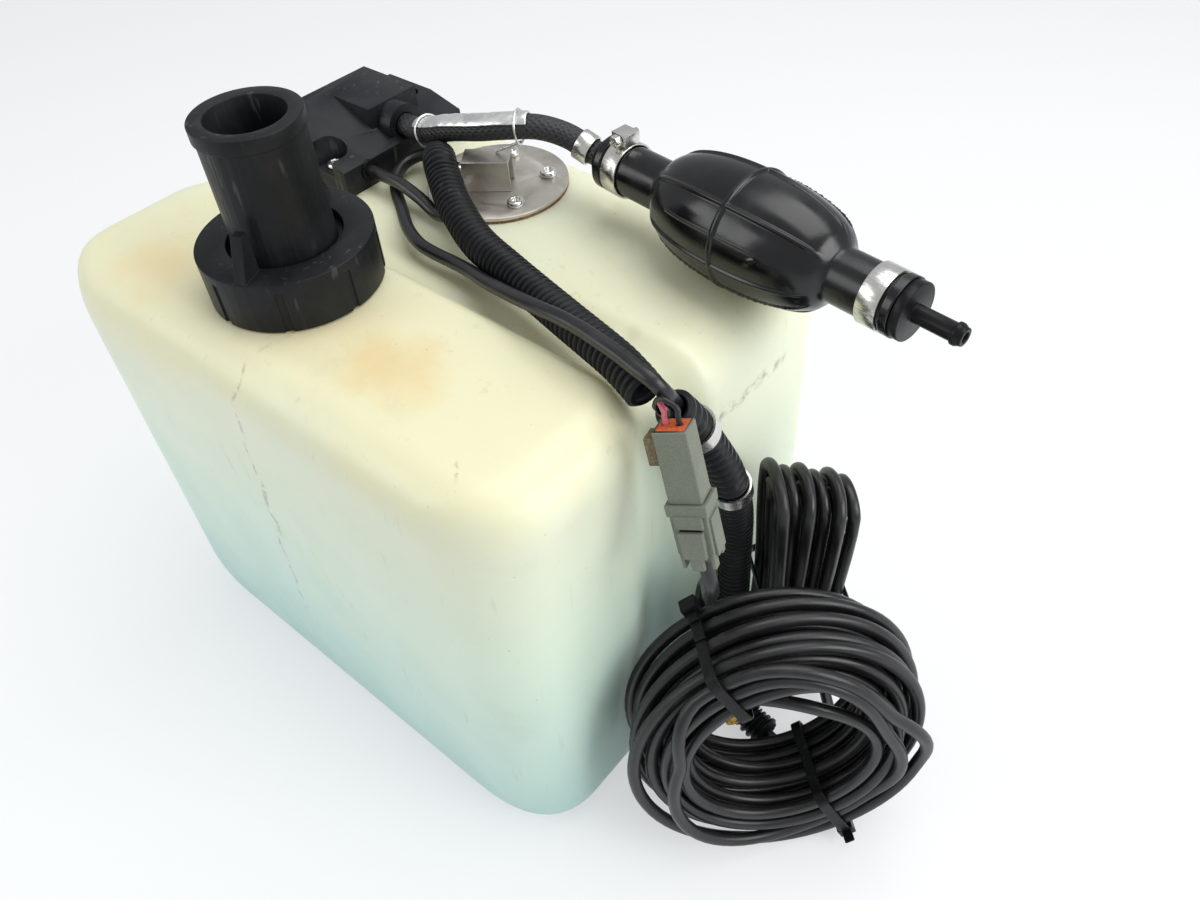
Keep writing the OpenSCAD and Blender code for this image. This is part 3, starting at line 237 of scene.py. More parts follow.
def refinish(node, finish):
    """Puts a finish on a node that is shown as it is."""
    slots = NODES[node].data.materials
    slots.clear()
    slots.append(finish)


# Finishes

class Board:
    """Places nodes in a tree. add() sets an input to a value, or links it where the value is a socket."""

    def __init__(self, tree):
        self.tree = tree

    def add(self, kind, out=0, props=(), **inputs):
        node = self.tree.nodes.new(kind)
        for key, value in dict(props).items():
            setattr(node, key, value)
        for key, value in inputs.items():
            name = int(key[1:]) if key[0] == "i" and key[1:].isdigit() else key.replace("_", " ")
            self.join(node.inputs[name], value)
        return node.outputs[out]

    def join(self, socket, value):
        if isinstance(value, bpy.types.NodeSocket):
            self.tree.links.new(value, socket)
        else:
            socket.default_value = value

    def math(self, how, a, b=0.0, c=0.0, clamp=False):
        return self.add("ShaderNodeMath", props={"operation": how, "use_clamp": clamp}, i0=a, i1=b, i2=c)

    def vec(self, how, a, b=(0, 0, 0), out=0):
        return self.add("ShaderNodeVectorMath", out, {"operation": how}, i0=a, i1=b)

    def ramp(self, value, low, high, to_low=0.0, to_high=1.0):
        return self.add("ShaderNodeMapRange", props={"interpolation_type": "SMOOTHSTEP"}, Value=value,
                        From_Min=low, From_Max=high, To_Min=to_low, To_Max=to_high)

    def mix(self, share, a, b):
        node = self.tree.nodes.new("ShaderNodeMix")
        node.data_type = "RGBA"
        self.join(node.inputs[0], share)
        self.join(node.inputs[6], a)
        self.join(node.inputs[7], b)
        return node.outputs[2]

    def here(self):
        return self.add("ShaderNodeTexCoord", "Object")

    def noise(self, scale, detail=2.0, rough=0.5, vector=None):
        return self.add("ShaderNodeTexNoise", Scale=scale, Detail=detail, Roughness=rough,
                        Vector=vector if vector is not None else self.here())


def effect(name, inputs, outputs):
    """An empty shader group with the named sockets, its board, and the sockets that come in and go out."""
    tree = bpy.data.node_groups.new(name, "ShaderNodeTree")
    for key, (kind, value) in inputs.items():
        socket = tree.interface.new_socket(key, in_out="INPUT", socket_type=kind)
        socket.default_value = value
    for key in outputs:
        tree.interface.new_socket(key, in_out="OUTPUT", socket_type="NodeSocketFloat")
    given = tree.nodes.new("NodeGroupInput").outputs
    put = tree.nodes.new("NodeGroupOutput").inputs
    return tree, Board(tree), given, put


FLOAT, VECTOR = "NodeSocketFloat", "NodeSocketVector"


def grain_effect():
    """Fine grain and slow cloud: two noises, each at a scale of its own."""
    tree, b, given, put = effect("moulded_grain", {"Scale": (FLOAT, 900.0), "Slow": (FLOAT, 40.0)},
                                 ["Fine", "Cloud"])
    b.join(put["Fine"], b.noise(given["Scale"], 3))
    b.join(put["Cloud"], b.noise(given["Slow"], 4, 0.6))
    return tree


def scuff_effect():
    """Thin broken scratches: a noise stretched along one direction, kept only where it is highest."""
    tree, b, given, put = effect("scuffs", {"Stretch": (VECTOR, (1, 1, 8)), "Scale": (FLOAT, 300.0),
                                            "Least": (FLOAT, 0.66)}, ["Mask"])
    far = b.vec("MULTIPLY", b.here(), given["Stretch"])
    line = b.noise(given["Scale"], 2, 0.5, far)
    patch = b.ramp(b.noise(38.0, 2), 0.45, 0.62)
    kept = b.ramp(line, given["Least"], b.math("ADD", given["Least"], 0.08))
    b.join(put["Mask"], b.math("MULTIPLY", kept, patch))
    return tree


def stain_effect():
    """A soft spot broken by noise: 1 at its middle, 0 at its size, from the distance to its middle."""
    tree, b, given, put = effect("stain", {"Middle": (VECTOR, (0, 0, 0)), "Size": (VECTOR, (.03, .03, .03)),
                                           "Scale": (FLOAT, 60.0)}, ["Mask"])
    off = b.vec("SUBTRACT", b.here(), given["Middle"])
    away = b.vec("LENGTH", b.vec("DIVIDE", off, given["Size"]), out=1)
    wave = b.math("SUBTRACT", b.noise(given["Scale"], 5, 0.65), 0.5)
    rough = b.math("ADD", away, b.math("MULTIPLY", wave, 1.1))
    b.join(put["Mask"], b.ramp(rough, 0.15, 1.0, 1.0, 0.0))
    return tree


def mark_effect():
    """A line on the surface: 1 on a plane through a point and 0 at a width from it, faded towards a reach
    from the point and broken by noise."""
    tree, b, given, put = effect("line_mark", {"Point": (VECTOR, (0, 0, 0)), "Across": (VECTOR, (1, 0, 0)),
                                               "Width": (FLOAT, .001), "Reach": (FLOAT, .08)}, ["Mask"])
    off = b.vec("SUBTRACT", b.here(), given["Point"])
    wave = b.math("MULTIPLY", b.math("SUBTRACT", b.noise(45.0, 3), 0.5), 0.016)
    side = b.math("ABSOLUTE", b.math("ADD", b.vec("DOT_PRODUCT", off, given["Across"], out=1), wave))
    away = b.vec("LENGTH", off, out=1)
    near = b.ramp(away, b.math("MULTIPLY", given["Reach"], 0.7), given["Reach"], 1.0, 0.0)
    line = b.ramp(side, 0.0, given["Width"], 1.0, 0.0)
    broken = b.ramp(b.noise(160.0, 4, 0.7), 0.42, 0.6)
    b.join(put["Mask"], b.math("MULTIPLY", b.math("MULTIPLY", line, near), broken))
    return tree


GRAIN, SCUFF, STAIN, MARK = grain_effect(), scuff_effect(), stain_effect(), mark_effect()


class Finish(Board):
    """A material with one Principled shader."""

    def __init__(self, name, **plain):
        self.material = bpy.data.materials.new(name)
        self.material.use_nodes = True
        super().__init__(self.material.node_tree)
        self.shader = self.tree.nodes["Principled BSDF"]
        for key, value in plain.items():
            self.shader.inputs[key.replace("_", " ")].default_value = value

    def use(self, group, out, **inputs):
        node = self.tree.nodes.new("ShaderNodeGroup")
        node.node_tree = group
        for key, value in inputs.items():
            self.join(node.inputs[key], value)
        return node.outputs[out]

    def paint(self, colour, rough, height, depth, strength):
        self.join(self.shader.inputs["Base Color"], colour)
        if rough is not None:
            self.join(self.shader.inputs["Roughness"], rough)
        bump = self.add("ShaderNodeBump", "Normal", Height=height, Distance=depth, Strength=strength)
        self.join(self.shader.inputs["Normal"], bump)
        return self.material


def rgb(r, g, b):
    """An opaque colour."""
    return (r, g, b, 1.0)


def tank_finish():
    """Oil-stained clear plastic: cream above, green and then blue below, painted lighter over the rear lobe
    to stand in for light falling there, with stains, specks and scuffs.
    """
    f = Finish("tank_plastic", Subsurface_Weight=0.3, Subsurface_Scale=0.03, IOR=1.45)
    f.shader.inputs["Subsurface Radius"].default_value = (1.0, 0.9, 0.6)
    height = f.add("ShaderNodeSeparateXYZ", "Z", Vector=f.here())
    across = f.add("ShaderNodeSeparateXYZ", "Y", Vector=f.here())
    cloud = f.use(GRAIN, "Cloud", Scale=1500.0, Slow=9.0)
    level = f.math("ADD", height, f.math("MULTIPLY", f.math("SUBTRACT", cloud, 0.5), 0.09))
    ramp = f.tree.nodes.new("ShaderNodeValToRGB")
    f.join(ramp.inputs[0], f.math("DIVIDE", level, 0.24, clamp=True))
    stops = [(0.0, rgb(0.37, 0.59, 0.55)), (0.28, rgb(0.52, 0.71, 0.64)), (0.58, rgb(0.66, 0.77, 0.63)),
             (0.84, rgb(0.71, 0.75, 0.59)), (0.97, rgb(0.74, 0.72, 0.49))]
    for at, _ in stops[2:]:
        ramp.color_ramp.elements.new(at)
    for element, (at, tone) in zip(ramp.color_ramp.elements, stops):
        element.position = at
        element.color = tone
    colour = ramp.outputs[0]
    # Painted light: the rear lobe is mixed halfway to a pale cream, lighter to stand in for light falling
    # there rather than for a colour of the plastic
    rear = f.ramp(across, -0.01, 0.03)
    colour = f.mix(f.math("MULTIPLY", rear, 0.5), colour, rgb(0.86, 0.88, 0.66))
    for middle, size, scale, share in [
            ((0.054, -0.064, 0.234), (0.034, 0.026, 0.02), 60.0, 0.40),
            ((-0.080, -0.077, 0.232), (0.034, 0.026, 0.02), 50.0, 0.34),
            ((0.010, -0.060, 0.234), (0.070, 0.040, 0.02), 30.0, 0.22)]:
        spot = f.use(STAIN, "Mask", Middle=middle, Size=size, Scale=scale)
        colour = f.mix(f.math("MULTIPLY", spot, share), colour, rgb(0.72, 0.47, 0.16))
    grime = f.math("MULTIPLY", f.ramp(f.noise(14.0, 6, 0.72), 0.56, 0.74), 0.16)
    colour = f.mix(grime, colour, rgb(0.45, 0.47, 0.36))
    specks = f.math("MULTIPLY", f.ramp(f.noise(420.0, 2, 0.6), 0.73, 0.78), 0.35)
    colour = f.mix(specks, colour, rgb(0.20, 0.17, 0.12))
    for point, way, width, reach, share in [
            ((-0.008, -0.1065, 0.150), (0.99, 0.0, -0.12), 0.0016, 0.10, 0.55),
            ((0.110, -0.086, 0.226), (0.75, 0.66, 0.0), 0.0012, 0.010, 0.85),
            ((0.144, 0.040, 0.195), (0.0, 0.06, 0.99), 0.0050, 0.036, 0.60)]:
        line = f.use(MARK, "Mask", Point=point, Across=way, Width=width, Reach=reach)
        colour = f.mix(f.math("MULTIPLY", line, share), colour, rgb(0.24, 0.19, 0.12))
    scratch = f.use(SCUFF, "Mask", Stretch=(1.0, 1.0, 0.12), Scale=240.0, Least=0.64)
    colour = f.mix(f.math("MULTIPLY", scratch, 0.14), colour, rgb(0.30, 0.30, 0.24))
    rough = f.ramp(f.noise(26.0, 4, 0.6), 0.3, 0.7, 0.30, 0.46)
    uneven = f.math("ADD", f.noise(22.0, 2), f.math("MULTIPLY", f.noise(700.0, 2), 0.05))
    return f.paint(colour, rough, uneven, 0.0012, 0.5)


def charcoal_finish(name, dark, light, rough_low, rough_high, scratch):
    """Matte moulded plastic: fine grain, slow pale wear and thin scratches."""
    f = Finish(name, Specular_IOR_Level=0.17)
    fine, cloud = (f.use(GRAIN, o, Scale=1400.0, Slow=30.0) for o in ("Fine", "Cloud"))
    colour = f.mix(f.ramp(cloud, 0.40, 0.72), dark, light)
    lines = f.use(SCUFF, "Mask", Stretch=(1.0, 0.7, 0.15), Scale=360.0, Least=0.62)
    colour = f.mix(f.math("MULTIPLY", lines, scratch), colour, rgb(0.30, 0.30, 0.30))
    rough = f.ramp(cloud, 0.3, 0.7, rough_low, rough_high)
    return f.paint(colour, rough, fine, 0.00012, 0.35)


def steel_finish(name, tone, dull, low, high, scale=260.0, spangle=False):
    """Bright metal: tarnish patches, fine brushing, and zinc crystals where it is galvanised."""
    f = Finish(name, Metallic=1.0)
    cloud = f.use(GRAIN, "Cloud", Scale=900.0, Slow=70.0)
    colour = f.mix(f.ramp(cloud, 0.42, 0.70), tone, dull)
    brush = f.noise(scale, 3, 0.6, f.vec("MULTIPLY", f.here(), (1.0, 9.0, 9.0)))
    height = brush
    if spangle:
        cell = f.add("ShaderNodeTexVoronoi", "Color", Vector=f.here(), Scale=330.0)
        flake = f.add("ShaderNodeSeparateColor", "Red", Color=cell)
        colour = f.mix(f.math("MULTIPLY", flake, 0.35), colour, rgb(0.50, 0.51, 0.51))
        height = f.noise(170.0, 3, 0.6)
    rough = f.ramp(brush, 0.3, 0.7, low, high)
    return f.paint(colour, rough, height, 0.00022 if spangle else 0.00002, 0.5)


def rubber_finish(name, dark, light, low, high, braid=0.0):
    """Black rubber or jacket: slow sheen changes and dust; a braid crosses two slanted waves of the run."""
    f = Finish(name)
    fine, cloud = (f.use(GRAIN, o, Scale=1100.0, Slow=55.0) for o in ("Fine", "Cloud"))
    colour = f.mix(f.ramp(cloud, 0.42, 0.75), dark, light)
    height = f.math("MULTIPLY", fine, 0.3)
    if braid:
        run = f.add("ShaderNodeUVMap", 0, {"uv_map": "run"})
        s, k = (f.add("ShaderNodeSeparateXYZ", o, Vector=run) for o in ("X", "Y"))
        turns = f.math("MULTIPLY", k, TAU * 12)
        rise = f.math("MULTIPLY", s, braid)
        one, two = (f.math("SINE", f.math(how, rise, turns)) for how in ("ADD", "SUBTRACT"))
        weave = f.math("MAXIMUM", one, two)
        height = f.math("ADD", height, weave)
        colour = f.mix(f.ramp(weave, 0.4, 1.0, 0.0, 0.7), colour, light)
    rough = f.ramp(cloud, 0.3, 0.7, low, high)
    return f.paint(colour, rough, height, 0.0003 if braid else 0.0001, 0.5)


def cork_finish():
    """Cork and rubber sheet: brown granules of two sizes."""
    f = Finish("cork_sheet", Roughness=0.85)
    cell = f.add("ShaderNodeTexVoronoi", "Distance", Vector=f.here(), Scale=700.0)
    colour = f.mix(f.ramp(cell, 0.1, 0.6), rgb(0.30, 0.16, 0.07), rgb(0.15, 0.075, 0.035))
    colour = f.mix(f.ramp(f.noise(240.0, 3), 0.5, 0.7), colour, rgb(0.38, 0.22, 0.10))
    return f.paint(colour, None, cell, 0.0003, 0.5)


def tinted_finish(name, tone, deep, low, high, grain=1000.0, depth=0.00012):
    """Coloured plastic or silicone: grain in both tone and surface."""
    f = Finish(name)
    fine, cloud = (f.use(GRAIN, o, Scale=grain, Slow=90.0) for o in ("Fine", "Cloud"))
    colour = f.mix(f.ramp(fine, 0.35, 0.7), deep, tone)
    colour = f.mix(f.math("MULTIPLY", f.ramp(cloud, 0.5, 0.75), 0.4), colour, deep)
    return f.paint(colour, f.ramp(cloud, 0.3, 0.7, low, high), fine, depth, 0.4)


TANK = tank_finish()
SPOUT = charcoal_finish("charcoal_plastic", rgb(0.008, 0.009, 0.010), rgb(0.017, 0.018, 0.020),
                        0.34, 0.48, 0.10)
COVER = charcoal_finish("cover_plastic", rgb(0.011, 0.012, 0.014), rgb(0.024, 0.026, 0.029), 0.32, 0.46, 0.14)
BLACK = charcoal_finish("black_plastic", rgb(0.006, 0.006, 0.007), rgb(0.014, 0.014, 0.015), 0.28, 0.42, 0.08)
CONDUIT = charcoal_finish("conduit_plastic", rgb(0.010, 0.011, 0.012), rgb(0.022, 0.023, 0.025),
                          0.32, 0.48, 0.08)
BULB = rubber_finish("bulb_rubber", rgb(0.003, 0.003, 0.004), rgb(0.008, 0.009, 0.010), 0.16, 0.30)
HOSE = rubber_finish("braided_hose", rgb(0.010, 0.010, 0.011), rgb(0.030, 0.031, 0.034), 0.42, 0.58, 1.9)
JACKET = rubber_finish("cable_jacket", rgb(0.009, 0.009, 0.010), rgb(0.018, 0.018, 0.020), 0.30, 0.42)
STEEL = steel_finish("band_steel", rgb(0.72, 0.71, 0.68), rgb(0.63, 0.61, 0.57), 0.20, 0.32)
PLATE = steel_finish("plate_steel", rgb(0.60, 0.57, 0.52), rgb(0.47, 0.44, 0.39), 0.36, 0.54, 420.0)
ZINC = steel_finish("galvanised", rgb(0.84, 0.84, 0.83), rgb(0.70, 0.70, 0.69), 0.26, 0.44, spangle=True)
SCREW = steel_finish("screw_steel", rgb(0.80, 0.79, 0.77), rgb(0.62, 0.60, 0.56), 0.16, 0.30)
CORK = cork_finish()
GREY = tinted_finish("grey_plastic", rgb(0.185, 0.205, 0.158), rgb(0.140, 0.155, 0.118), 0.48, 0.66,
                     2200.0, 0.00015)
BRONZE = tinted_finish("bronze_clip", rgb(0.20, 0.15, 0.075), rgb(0.10, 0.072, 0.035), 0.40, 0.55)
ORANGE = tinted_finish("orange_seal", rgb(0.62, 0.125, 0.03), rgb(0.44, 0.075, 0.02), 0.45, 0.60)
PINK = tinted_finish("pink_jacket", rgb(0.62, 0.16, 0.20), rgb(0.45, 0.10, 0.13), 0.35, 0.50)
RED = tinted_finish("red_sleeve", rgb(0.52, 0.045, 0.03), rgb(0.36, 0.03, 0.02), 0.28, 0.42)
YELLOW = tinted_finish("yellow_sleeve", rgb(0.62, 0.42, 0.06), rgb(0.46, 0.30, 0.04), 0.30, 0.45)


# Camera, floor and light

# The photograph's azimuth, elevation and roll in degrees, place in mm, and focal length and width in pixels
VIEW_TURN, VIEW_AT, VIEW_FOCAL, VIEW_WIDE = (43.0, 45.92, -4.47), (302.0, -220.8, 475.5), 989.5, 1200
SENSOR_WIDE = 36.0
# The floor's half width and its distance below the tank, in metres
FLOOR_HALF, FLOOR_DROP = 4, 0.0003


def photo_camera():
    """The view of the photograph, as a camera fitted to the tank's edges gave it."""
    a, e, roll = np.radians(VIEW_TURN)
    back = np.array([np.sin(a) * np.cos(e), -np.cos(a) * np.cos(e), np.sin(e)])
    right = unit(np.cross(-back, [0, 0, 1.0]))
    up = np.cross(right, -back)
    side = right * np.cos(roll) + up * np.sin(roll)
    head = up * np.cos(roll) - right * np.sin(roll)
    turn = np.eye(4)
    turn[:3, 0], turn[:3, 1], turn[:3, 2] = side, head, back
    turn[:3, 3] = np.array(VIEW_AT) * MM
    lens = bpy.data.cameras.new("photo_view")
    lens.sensor_width = SENSOR_WIDE
    lens.lens = SENSOR_WIDE * VIEW_FOCAL / VIEW_WIDE
    lens.clip_start = 0.01
    camera = shown("photo_view", lens)
    camera.matrix_world = Matrix(turn.tolist())
    bpy.context.scene.camera = camera


def pale_floor():
    """A wide plane. Seen directly it is part bright of itself, so that it stays pale and keeps its shadow."""
    line = np.linspace(-FLOOR_HALF, FLOOR_HALF, 3)
    x, y = np.meshgrid(line, line)
    points = np.stack([x.ravel(), y.ravel(), np.full(9, -FLOOR_DROP)], -1)
    mesh = built("floor", points, grid_faces(3, 3, False)[:, ::-1].tolist())
    f = Finish("floor_white", Roughness=0.7)
    f.shader.inputs["Base Color"].default_value = rgb(0.90, 0.91, 0.92)
    glow = f.add("ShaderNodeEmission", Color=rgb(0.93, 0.95, 0.96), Strength=1.0)
    path = f.tree.nodes.new("ShaderNodeLightPath")
    seen = f.math("MAXIMUM", path.outputs["Is Camera Ray"],
                  f.math("MAXIMUM", path.outputs["Is Glossy Ray"], path.outputs["Is Transmission Ray"]))
    both = f.add("ShaderNodeMixShader", i0=f.math("MULTIPLY", seen, 0.55), i1=f.shader.outputs[0], i2=glow)
    f.join(f.tree.nodes["Material Output"].inputs[0], both)
    mesh.materials.append(f.material)
    floor = shown("floor", mesh)


def soft_lamp(name, at, to, size, power):
    """A square soft lamp at a place, aimed at a point."""
    lamp = bpy.data.lights.new(name, "AREA")
    lamp.size = size
    lamp.energy = power
    back = unit(np.array(at, float) - np.array(to, float))
    side = unit(np.cross([0, 0.01, 1.0], back))
    turn = np.eye(4)
    turn[:3, 0], turn[:3, 1], turn[:3, 2], turn[:3, 3] = side, np.cross(back, side), back, at
    shown(name, lamp).matrix_world = Matrix(turn.tolist())


def studio():
    """A pale world that lights less than it shows, and three soft lamps."""
    world = bpy.data.worlds.new("studio")
    world.use_nodes = True
    b = Board(world.node_tree)
    path = world.node_tree.nodes.new("ShaderNodeLightPath")
    seen = path.outputs["Is Camera Ray"]
    sky = world.node_tree.nodes["Background"]
    sky.inputs[0].default_value = rgb(0.96, 0.98, 1.0)
    b.join(sky.inputs[1], b.ramp(seen, 0.0, 1.0, 0.55, 0.97))
    bpy.context.scene.world = world
    bpy.context.scene.view_settings.view_transform = "Standard"
    soft_lamp("top_softbox", (0.15, 0.35, 1.25), (0.05, 0.0, 0.15), 0.9, 7.4)
    soft_lamp("right_softbox", (1.2, 0.25, 0.8), (0.1, 0.0, 0.12), 0.8, 9.5)
    soft_lamp("left_softbox", (-0.8, -1.0, 0.8), (0.0, 0.0, 0.12), 0.8, 5.4)


photo_camera()
pale_floor()
studio()


# Cords, in the routes of the solids

# The tank's right end and the top of its rear lobe
END_X, REAR_TOP = 144.0, 228.0
# Widths of a cable, a conduit, its bore and the hose, and the gap to what a coil or hank stands on
CABLE_D, CONDUIT_OD, CONDUIT_BORE, HOSE_OD = 5.8, 15.6, 10.4, 11.0
RUN_GAP = 0.3


def raised(points, z):
    """Points lifted by z."""
    return np.array(points, float) + [0, 0, z]


def turned(q, angle, axis):
    """Points turned by degrees about the x, y or z axis."""
    c, s = np.cos(np.radians(angle)), np.sin(np.radians(angle))
    m = {"x": [[1, 0, 0], [0, c, -s], [0, s, c]], "y": [[c, 0, s], [0, 1, 0], [-s, 0, c]],
         "z": [[c, -s, 0], [s, c, 0], [0, 0, 1]]}[axis]
    return np.asarray(q, float) @ np.array(m).T


CONN_AT = np.array([END_X + 13.9, -29.0, REAR_TOP + 10.3])
CONN_SPIN, CONN_TILT, CONN_YAW = 36, -20, -16.7


def conn_point(q):
    """A point of the connector's own frame, spun, tilted and yawed into the tank's frame."""
    return CONN_AT + turned(turned(turned(q, CONN_SPIN, "z"), CONN_TILT, "y"), CONN_YAW, "z")


# Outer radius, steps between turns and layers, turns to a layer, lean and yaw
COIL_R, COIL_STEP, COIL_LAYER, COIL_TURNS, COIL_LEAN, COIL_YAW = 63.5, 7.15, 7.3, 3.2, 7.5, 47.0
# Layers, and the turns from one layer to the next and past the last one
COIL_LAYERS, COIL_CLIMB, COIL_TAIL = 6, 0.5, 0.4
COIL_TOTAL = COIL_LAYERS * (COIL_TURNS + COIL_CLIMB) - COIL_CLIMB + COIL_TAIL
# How far the end is tucked in and drops, and over which share of a turn
TUCK_IN, TUCK_DROP, TUCK_L = 8.4, 26.0, 0.35
# Waver of all turns, and how far the front ones swing in and rise over their neighbours
COIL_WAVER, OVER_IN, OVER_RISE = 0.55, 12, 6.2
# Turns of the front layer where a swing starts, lies highest and ends
OVERS = ((0.03, 0.18, 0.39), (0.44, 0.55, 0.88), (0.95, 1.15, 1.38))
# How far outer turns hang and toward which degree, in the back layers and in the two at the front
HANG_BACK, TOWARD_BACK, HANG_FRONT, TOWARD_FRONT = 2.0, 85, 6.0, 228
COIL_START = 150
COIL_SAMPLES = int(72 * COIL_TOTAL) + 1
COIL_IN, COIL_HALF = COIL_R - COIL_TURNS * COIL_STEP, (COIL_LAYERS - 1) / 2 * COIL_LAYER
COIL_AT = np.array([END_X + 60.5, -15, (COIL_R + CABLE_D / 2) * np.cos(np.radians(COIL_LEAN))
                    + COIL_HALF * np.sin(np.radians(COIL_LEAN)) + RUN_GAP])


def coil_place(q):
    """A point of the coil's own frame, whose third axis is the coil's, in the tank's frame."""
    return COIL_AT + turned(turned(q, 90 - COIL_LEAN, "x"), COIL_YAW, "z")


def coil_points(n):
    """Layers wound out and in by turns. r runs between the inner and outer turn, and each change of layer
    climbs over half a turn. Outer turns hang loose to one side by a squared cosine, all turns waver by sines,
    parts of the front turns swing inwards over their neighbours, and the end is tucked back into
    the middle."""
    t = np.linspace(0, COIL_TOTAL, n)
    period = COIL_TURNS + COIL_CLIMB
    k = np.minimum(np.floor(t / period), COIL_LAYERS - 1)
    f = t - k * period
    q = np.minimum(f / COIL_TURNS, 1)
    out = np.where(k % 2 == 0, q, 1 - q)
    r = COIL_IN + out * (COIL_R - COIL_IN)
    front = k == COIL_LAYERS - 1
    h = -COIL_HALF + COIL_LAYER * (k + np.where(front, 0, smooth(COIL_TURNS, period, f)))
    a = np.radians(COIL_START + 360 * t)
    back = k < COIL_LAYERS - 2
    toward = np.radians(np.where(back, TOWARD_BACK, TOWARD_FRONT))
    hang = np.where(back, HANG_BACK, HANG_FRONT) * out ** 2 * np.maximum(np.cos(a - toward), 0) ** 2
    ends = smooth(0, 0.6, t) * smooth(0, 0.6, COIL_TOTAL - t)
    over = np.zeros(n)
    for first, top, last in OVERS:
        over += front * smooth(first, top, f) * (1 - smooth(top, last, f))
    tuck = smooth(COIL_TOTAL - 1.6 * TUCK_L, COIL_TOTAL - TUCK_L, t)
    fall = smooth(COIL_TOTAL - TUCK_L, COIL_TOTAL, t)
    r = r + hang - TUCK_IN * tuck - OVER_IN * over ** 1.5 + ends * COIL_WAVER * np.sin(1.37 * TAU * t + 1)
    h = h - TUCK_DROP * fall + OVER_RISE * (1 - (1 - over) ** 3) + ends * COIL_WAVER * np.sin(1.63 * TAU * t)
    return np.stack([r * np.cos(a), r * np.sin(a), h], -1)


# Straight run, end radius, steps between loops and layers, share kept at the waist, and yaw
HANK_RUN, HANK_R, HANK_STEP, HANK_LAYER, HANK_WAIST, HANK_YAW = 124.0, 17.0, 8.4, 6.8, 0.9, 137.0
# Layers, turns to a layer with its climb, and how much lower each millimetre across makes the loops
HANK_LAYERS, HANK_PERIOD, HANK_TAPER = 6, 1.5, 0.0026
HANK_REACH, HANK_HALF = HANK_R + 0.5 * HANK_STEP, (HANK_LAYERS - 1) / 2 * HANK_LAYER
HANK_FOOT = HANK_RUN / 2 + HANK_REACH
HANK_AT = np.array([END_X + 33, 45, HANK_FOOT + CABLE_D / 2 + RUN_GAP])


def hank_place(q):
    """A point of the hank's own frame, whose second axis is upright, in the tank's frame."""
    return HANK_AT + turned(turned(q, 90, "x"), HANK_YAW, "z")


def hank_points(n):
    """Upright loops side by side: long straight runs with round ends, drawn in at the waist."""
    t = np.linspace(0, HANK_PERIOD * HANK_LAYERS, n)
    k = np.minimum(np.floor(t / HANK_PERIOD), HANK_LAYERS - 1)
    f = t - k * HANK_PERIOD
    last = k == HANK_LAYERS - 1
    q = np.where(last, f, np.minimum(f, 1))
    r = HANK_R - HANK_STEP + np.where(k % 2 == 0, 1 - q, q) * HANK_STEP
    h = HANK_HALF - HANK_LAYER * (k + np.where(last, 0, smooth(1, HANK_PERIOD, f)))
    a = np.radians(-90 + 360 * t)
    y = HANK_RUN / 2 * np.clip(2.2 * np.sin(a), -1, 1) + r * np.sin(a)
    keep = HANK_WAIST + (1 - HANK_WAIST) * smooth(0, HANK_RUN / 2, np.abs(y))
    y = (y + HANK_FOOT) * (1 - HANK_TAPER * (h + HANK_HALF)) - HANK_FOOT
    return np.stack([r * np.cos(a) * keep, y, h * keep], -1)


BULB_AT, BULB_WAY = np.array([125.5, 64.2, REAR_TOP + 25.3]), turned([1.0, 0, 0], -7.2, "z")
# Ends of the bulb and of the hose along the bulb's axis
S_IN, S_OUT, S_HOSE = -78.5, 72.5, -81.5
# The body's half length, the necks' radius, and what the body swells beyond it
BULB_HALF, BULB_NECK, BULB_SWELL = 42.5, 11, 13
# Heights of the long ribs, the girth rib, the end beads and the arrow
RIB_H, GIRTH_H, BEAD_H, ARROW_H = 0.95, 1.0, 1.0, 0.5


def bulb_at(s):
    """The point of the bulb's axis at a distance s from its middle."""
    return BULB_AT + s * BULB_WAY


SENSOR = raised([
    [-63, 25, 8.5], [-57, 25, 8.5], [-50, 23.8, 9.6], [-38, 23, 10.3], [-24, 22, 8], [-12, 20, 5.5],
    [-3, 18.5, 8]], REAR_TOP)
UPPER = raised([
    [-37, 47.8, 11.2], [-30, 42, 16.6], [-22.3, 36, 18.3], [-13.5, 30, 16.2], [1, 21, 14], [25, 9.8, 11.6],
    [51, 2.8, 10.8], [88, -6.5, 10.8], [119, -14.5, 11.6], [131, -18, 11], [140, -21, 9.8]], REAR_TOP)
BRANCH = raised([
    [-34.5, 45.8, 13.2], [-38.5, 49.1, 10.1], [-43.5, 52.6, 8.8], [-50.5, 50.8, 8.2], [-55.3, 42.5, 6.5],
    [-52.5, 33, 5], [-44, 24.5, 3.8], [-31, 16, 3.3], [-16.5, 6.6, 3.3], [-3.7, 1.4, 3.3], [7.4, 0, 3.4],
    [20.7, -0.8, 4.3], [33.2, -3.2, 6.5], [45.2, -7, 9.3], [57, -10.3, 12.5], [72.6, -14, 16.6],
    [86, -16.3, 19.5], [97.4, -17.6, 21.5], [108.4, -18.9, 22.4], [119.2, -20.6, 22.7], [129.5, -22.2, 22.6],
    [139, -24.3, 22.6], [146.5, -25, 21.5], [150, -22.6, 16], [149.6, -18.8, 10],
    [149.1, -13.8, 2.4]], REAR_TOP)
LOWER = np.array([
    [5.3, -17.5, 232.8], [6.9, -9.3, 219.8], [8.4, 0.5, 201], [10.8, 11.5, 176], [10.5, 20.5, 145],
    [9.5, 24, 110], [10.5, 23.5, 80], [14, 19.5, 50], [21, 12.5, 25], [33, 8.5, 10.6],
    [47, 7, 8.8]]) + [END_X, 0, 0]
HOSE_RUN = np.vstack([
    [[-66 + x, 54, 245.5] for x in (0.1, 5, 10)],
    raised([[-43, 52.6, 21.6], [-30, 52.9, 26.4], [-14, 55.5, 30.2], [0, 60.5, 33], [12, 67, 33.6],
            [23, 73, 30.2]], REAR_TOP),
    [bulb_at(S_HOSE - s) for s in (10, 5, 0.1)]])
PLUG_FOOT = -29 - 28
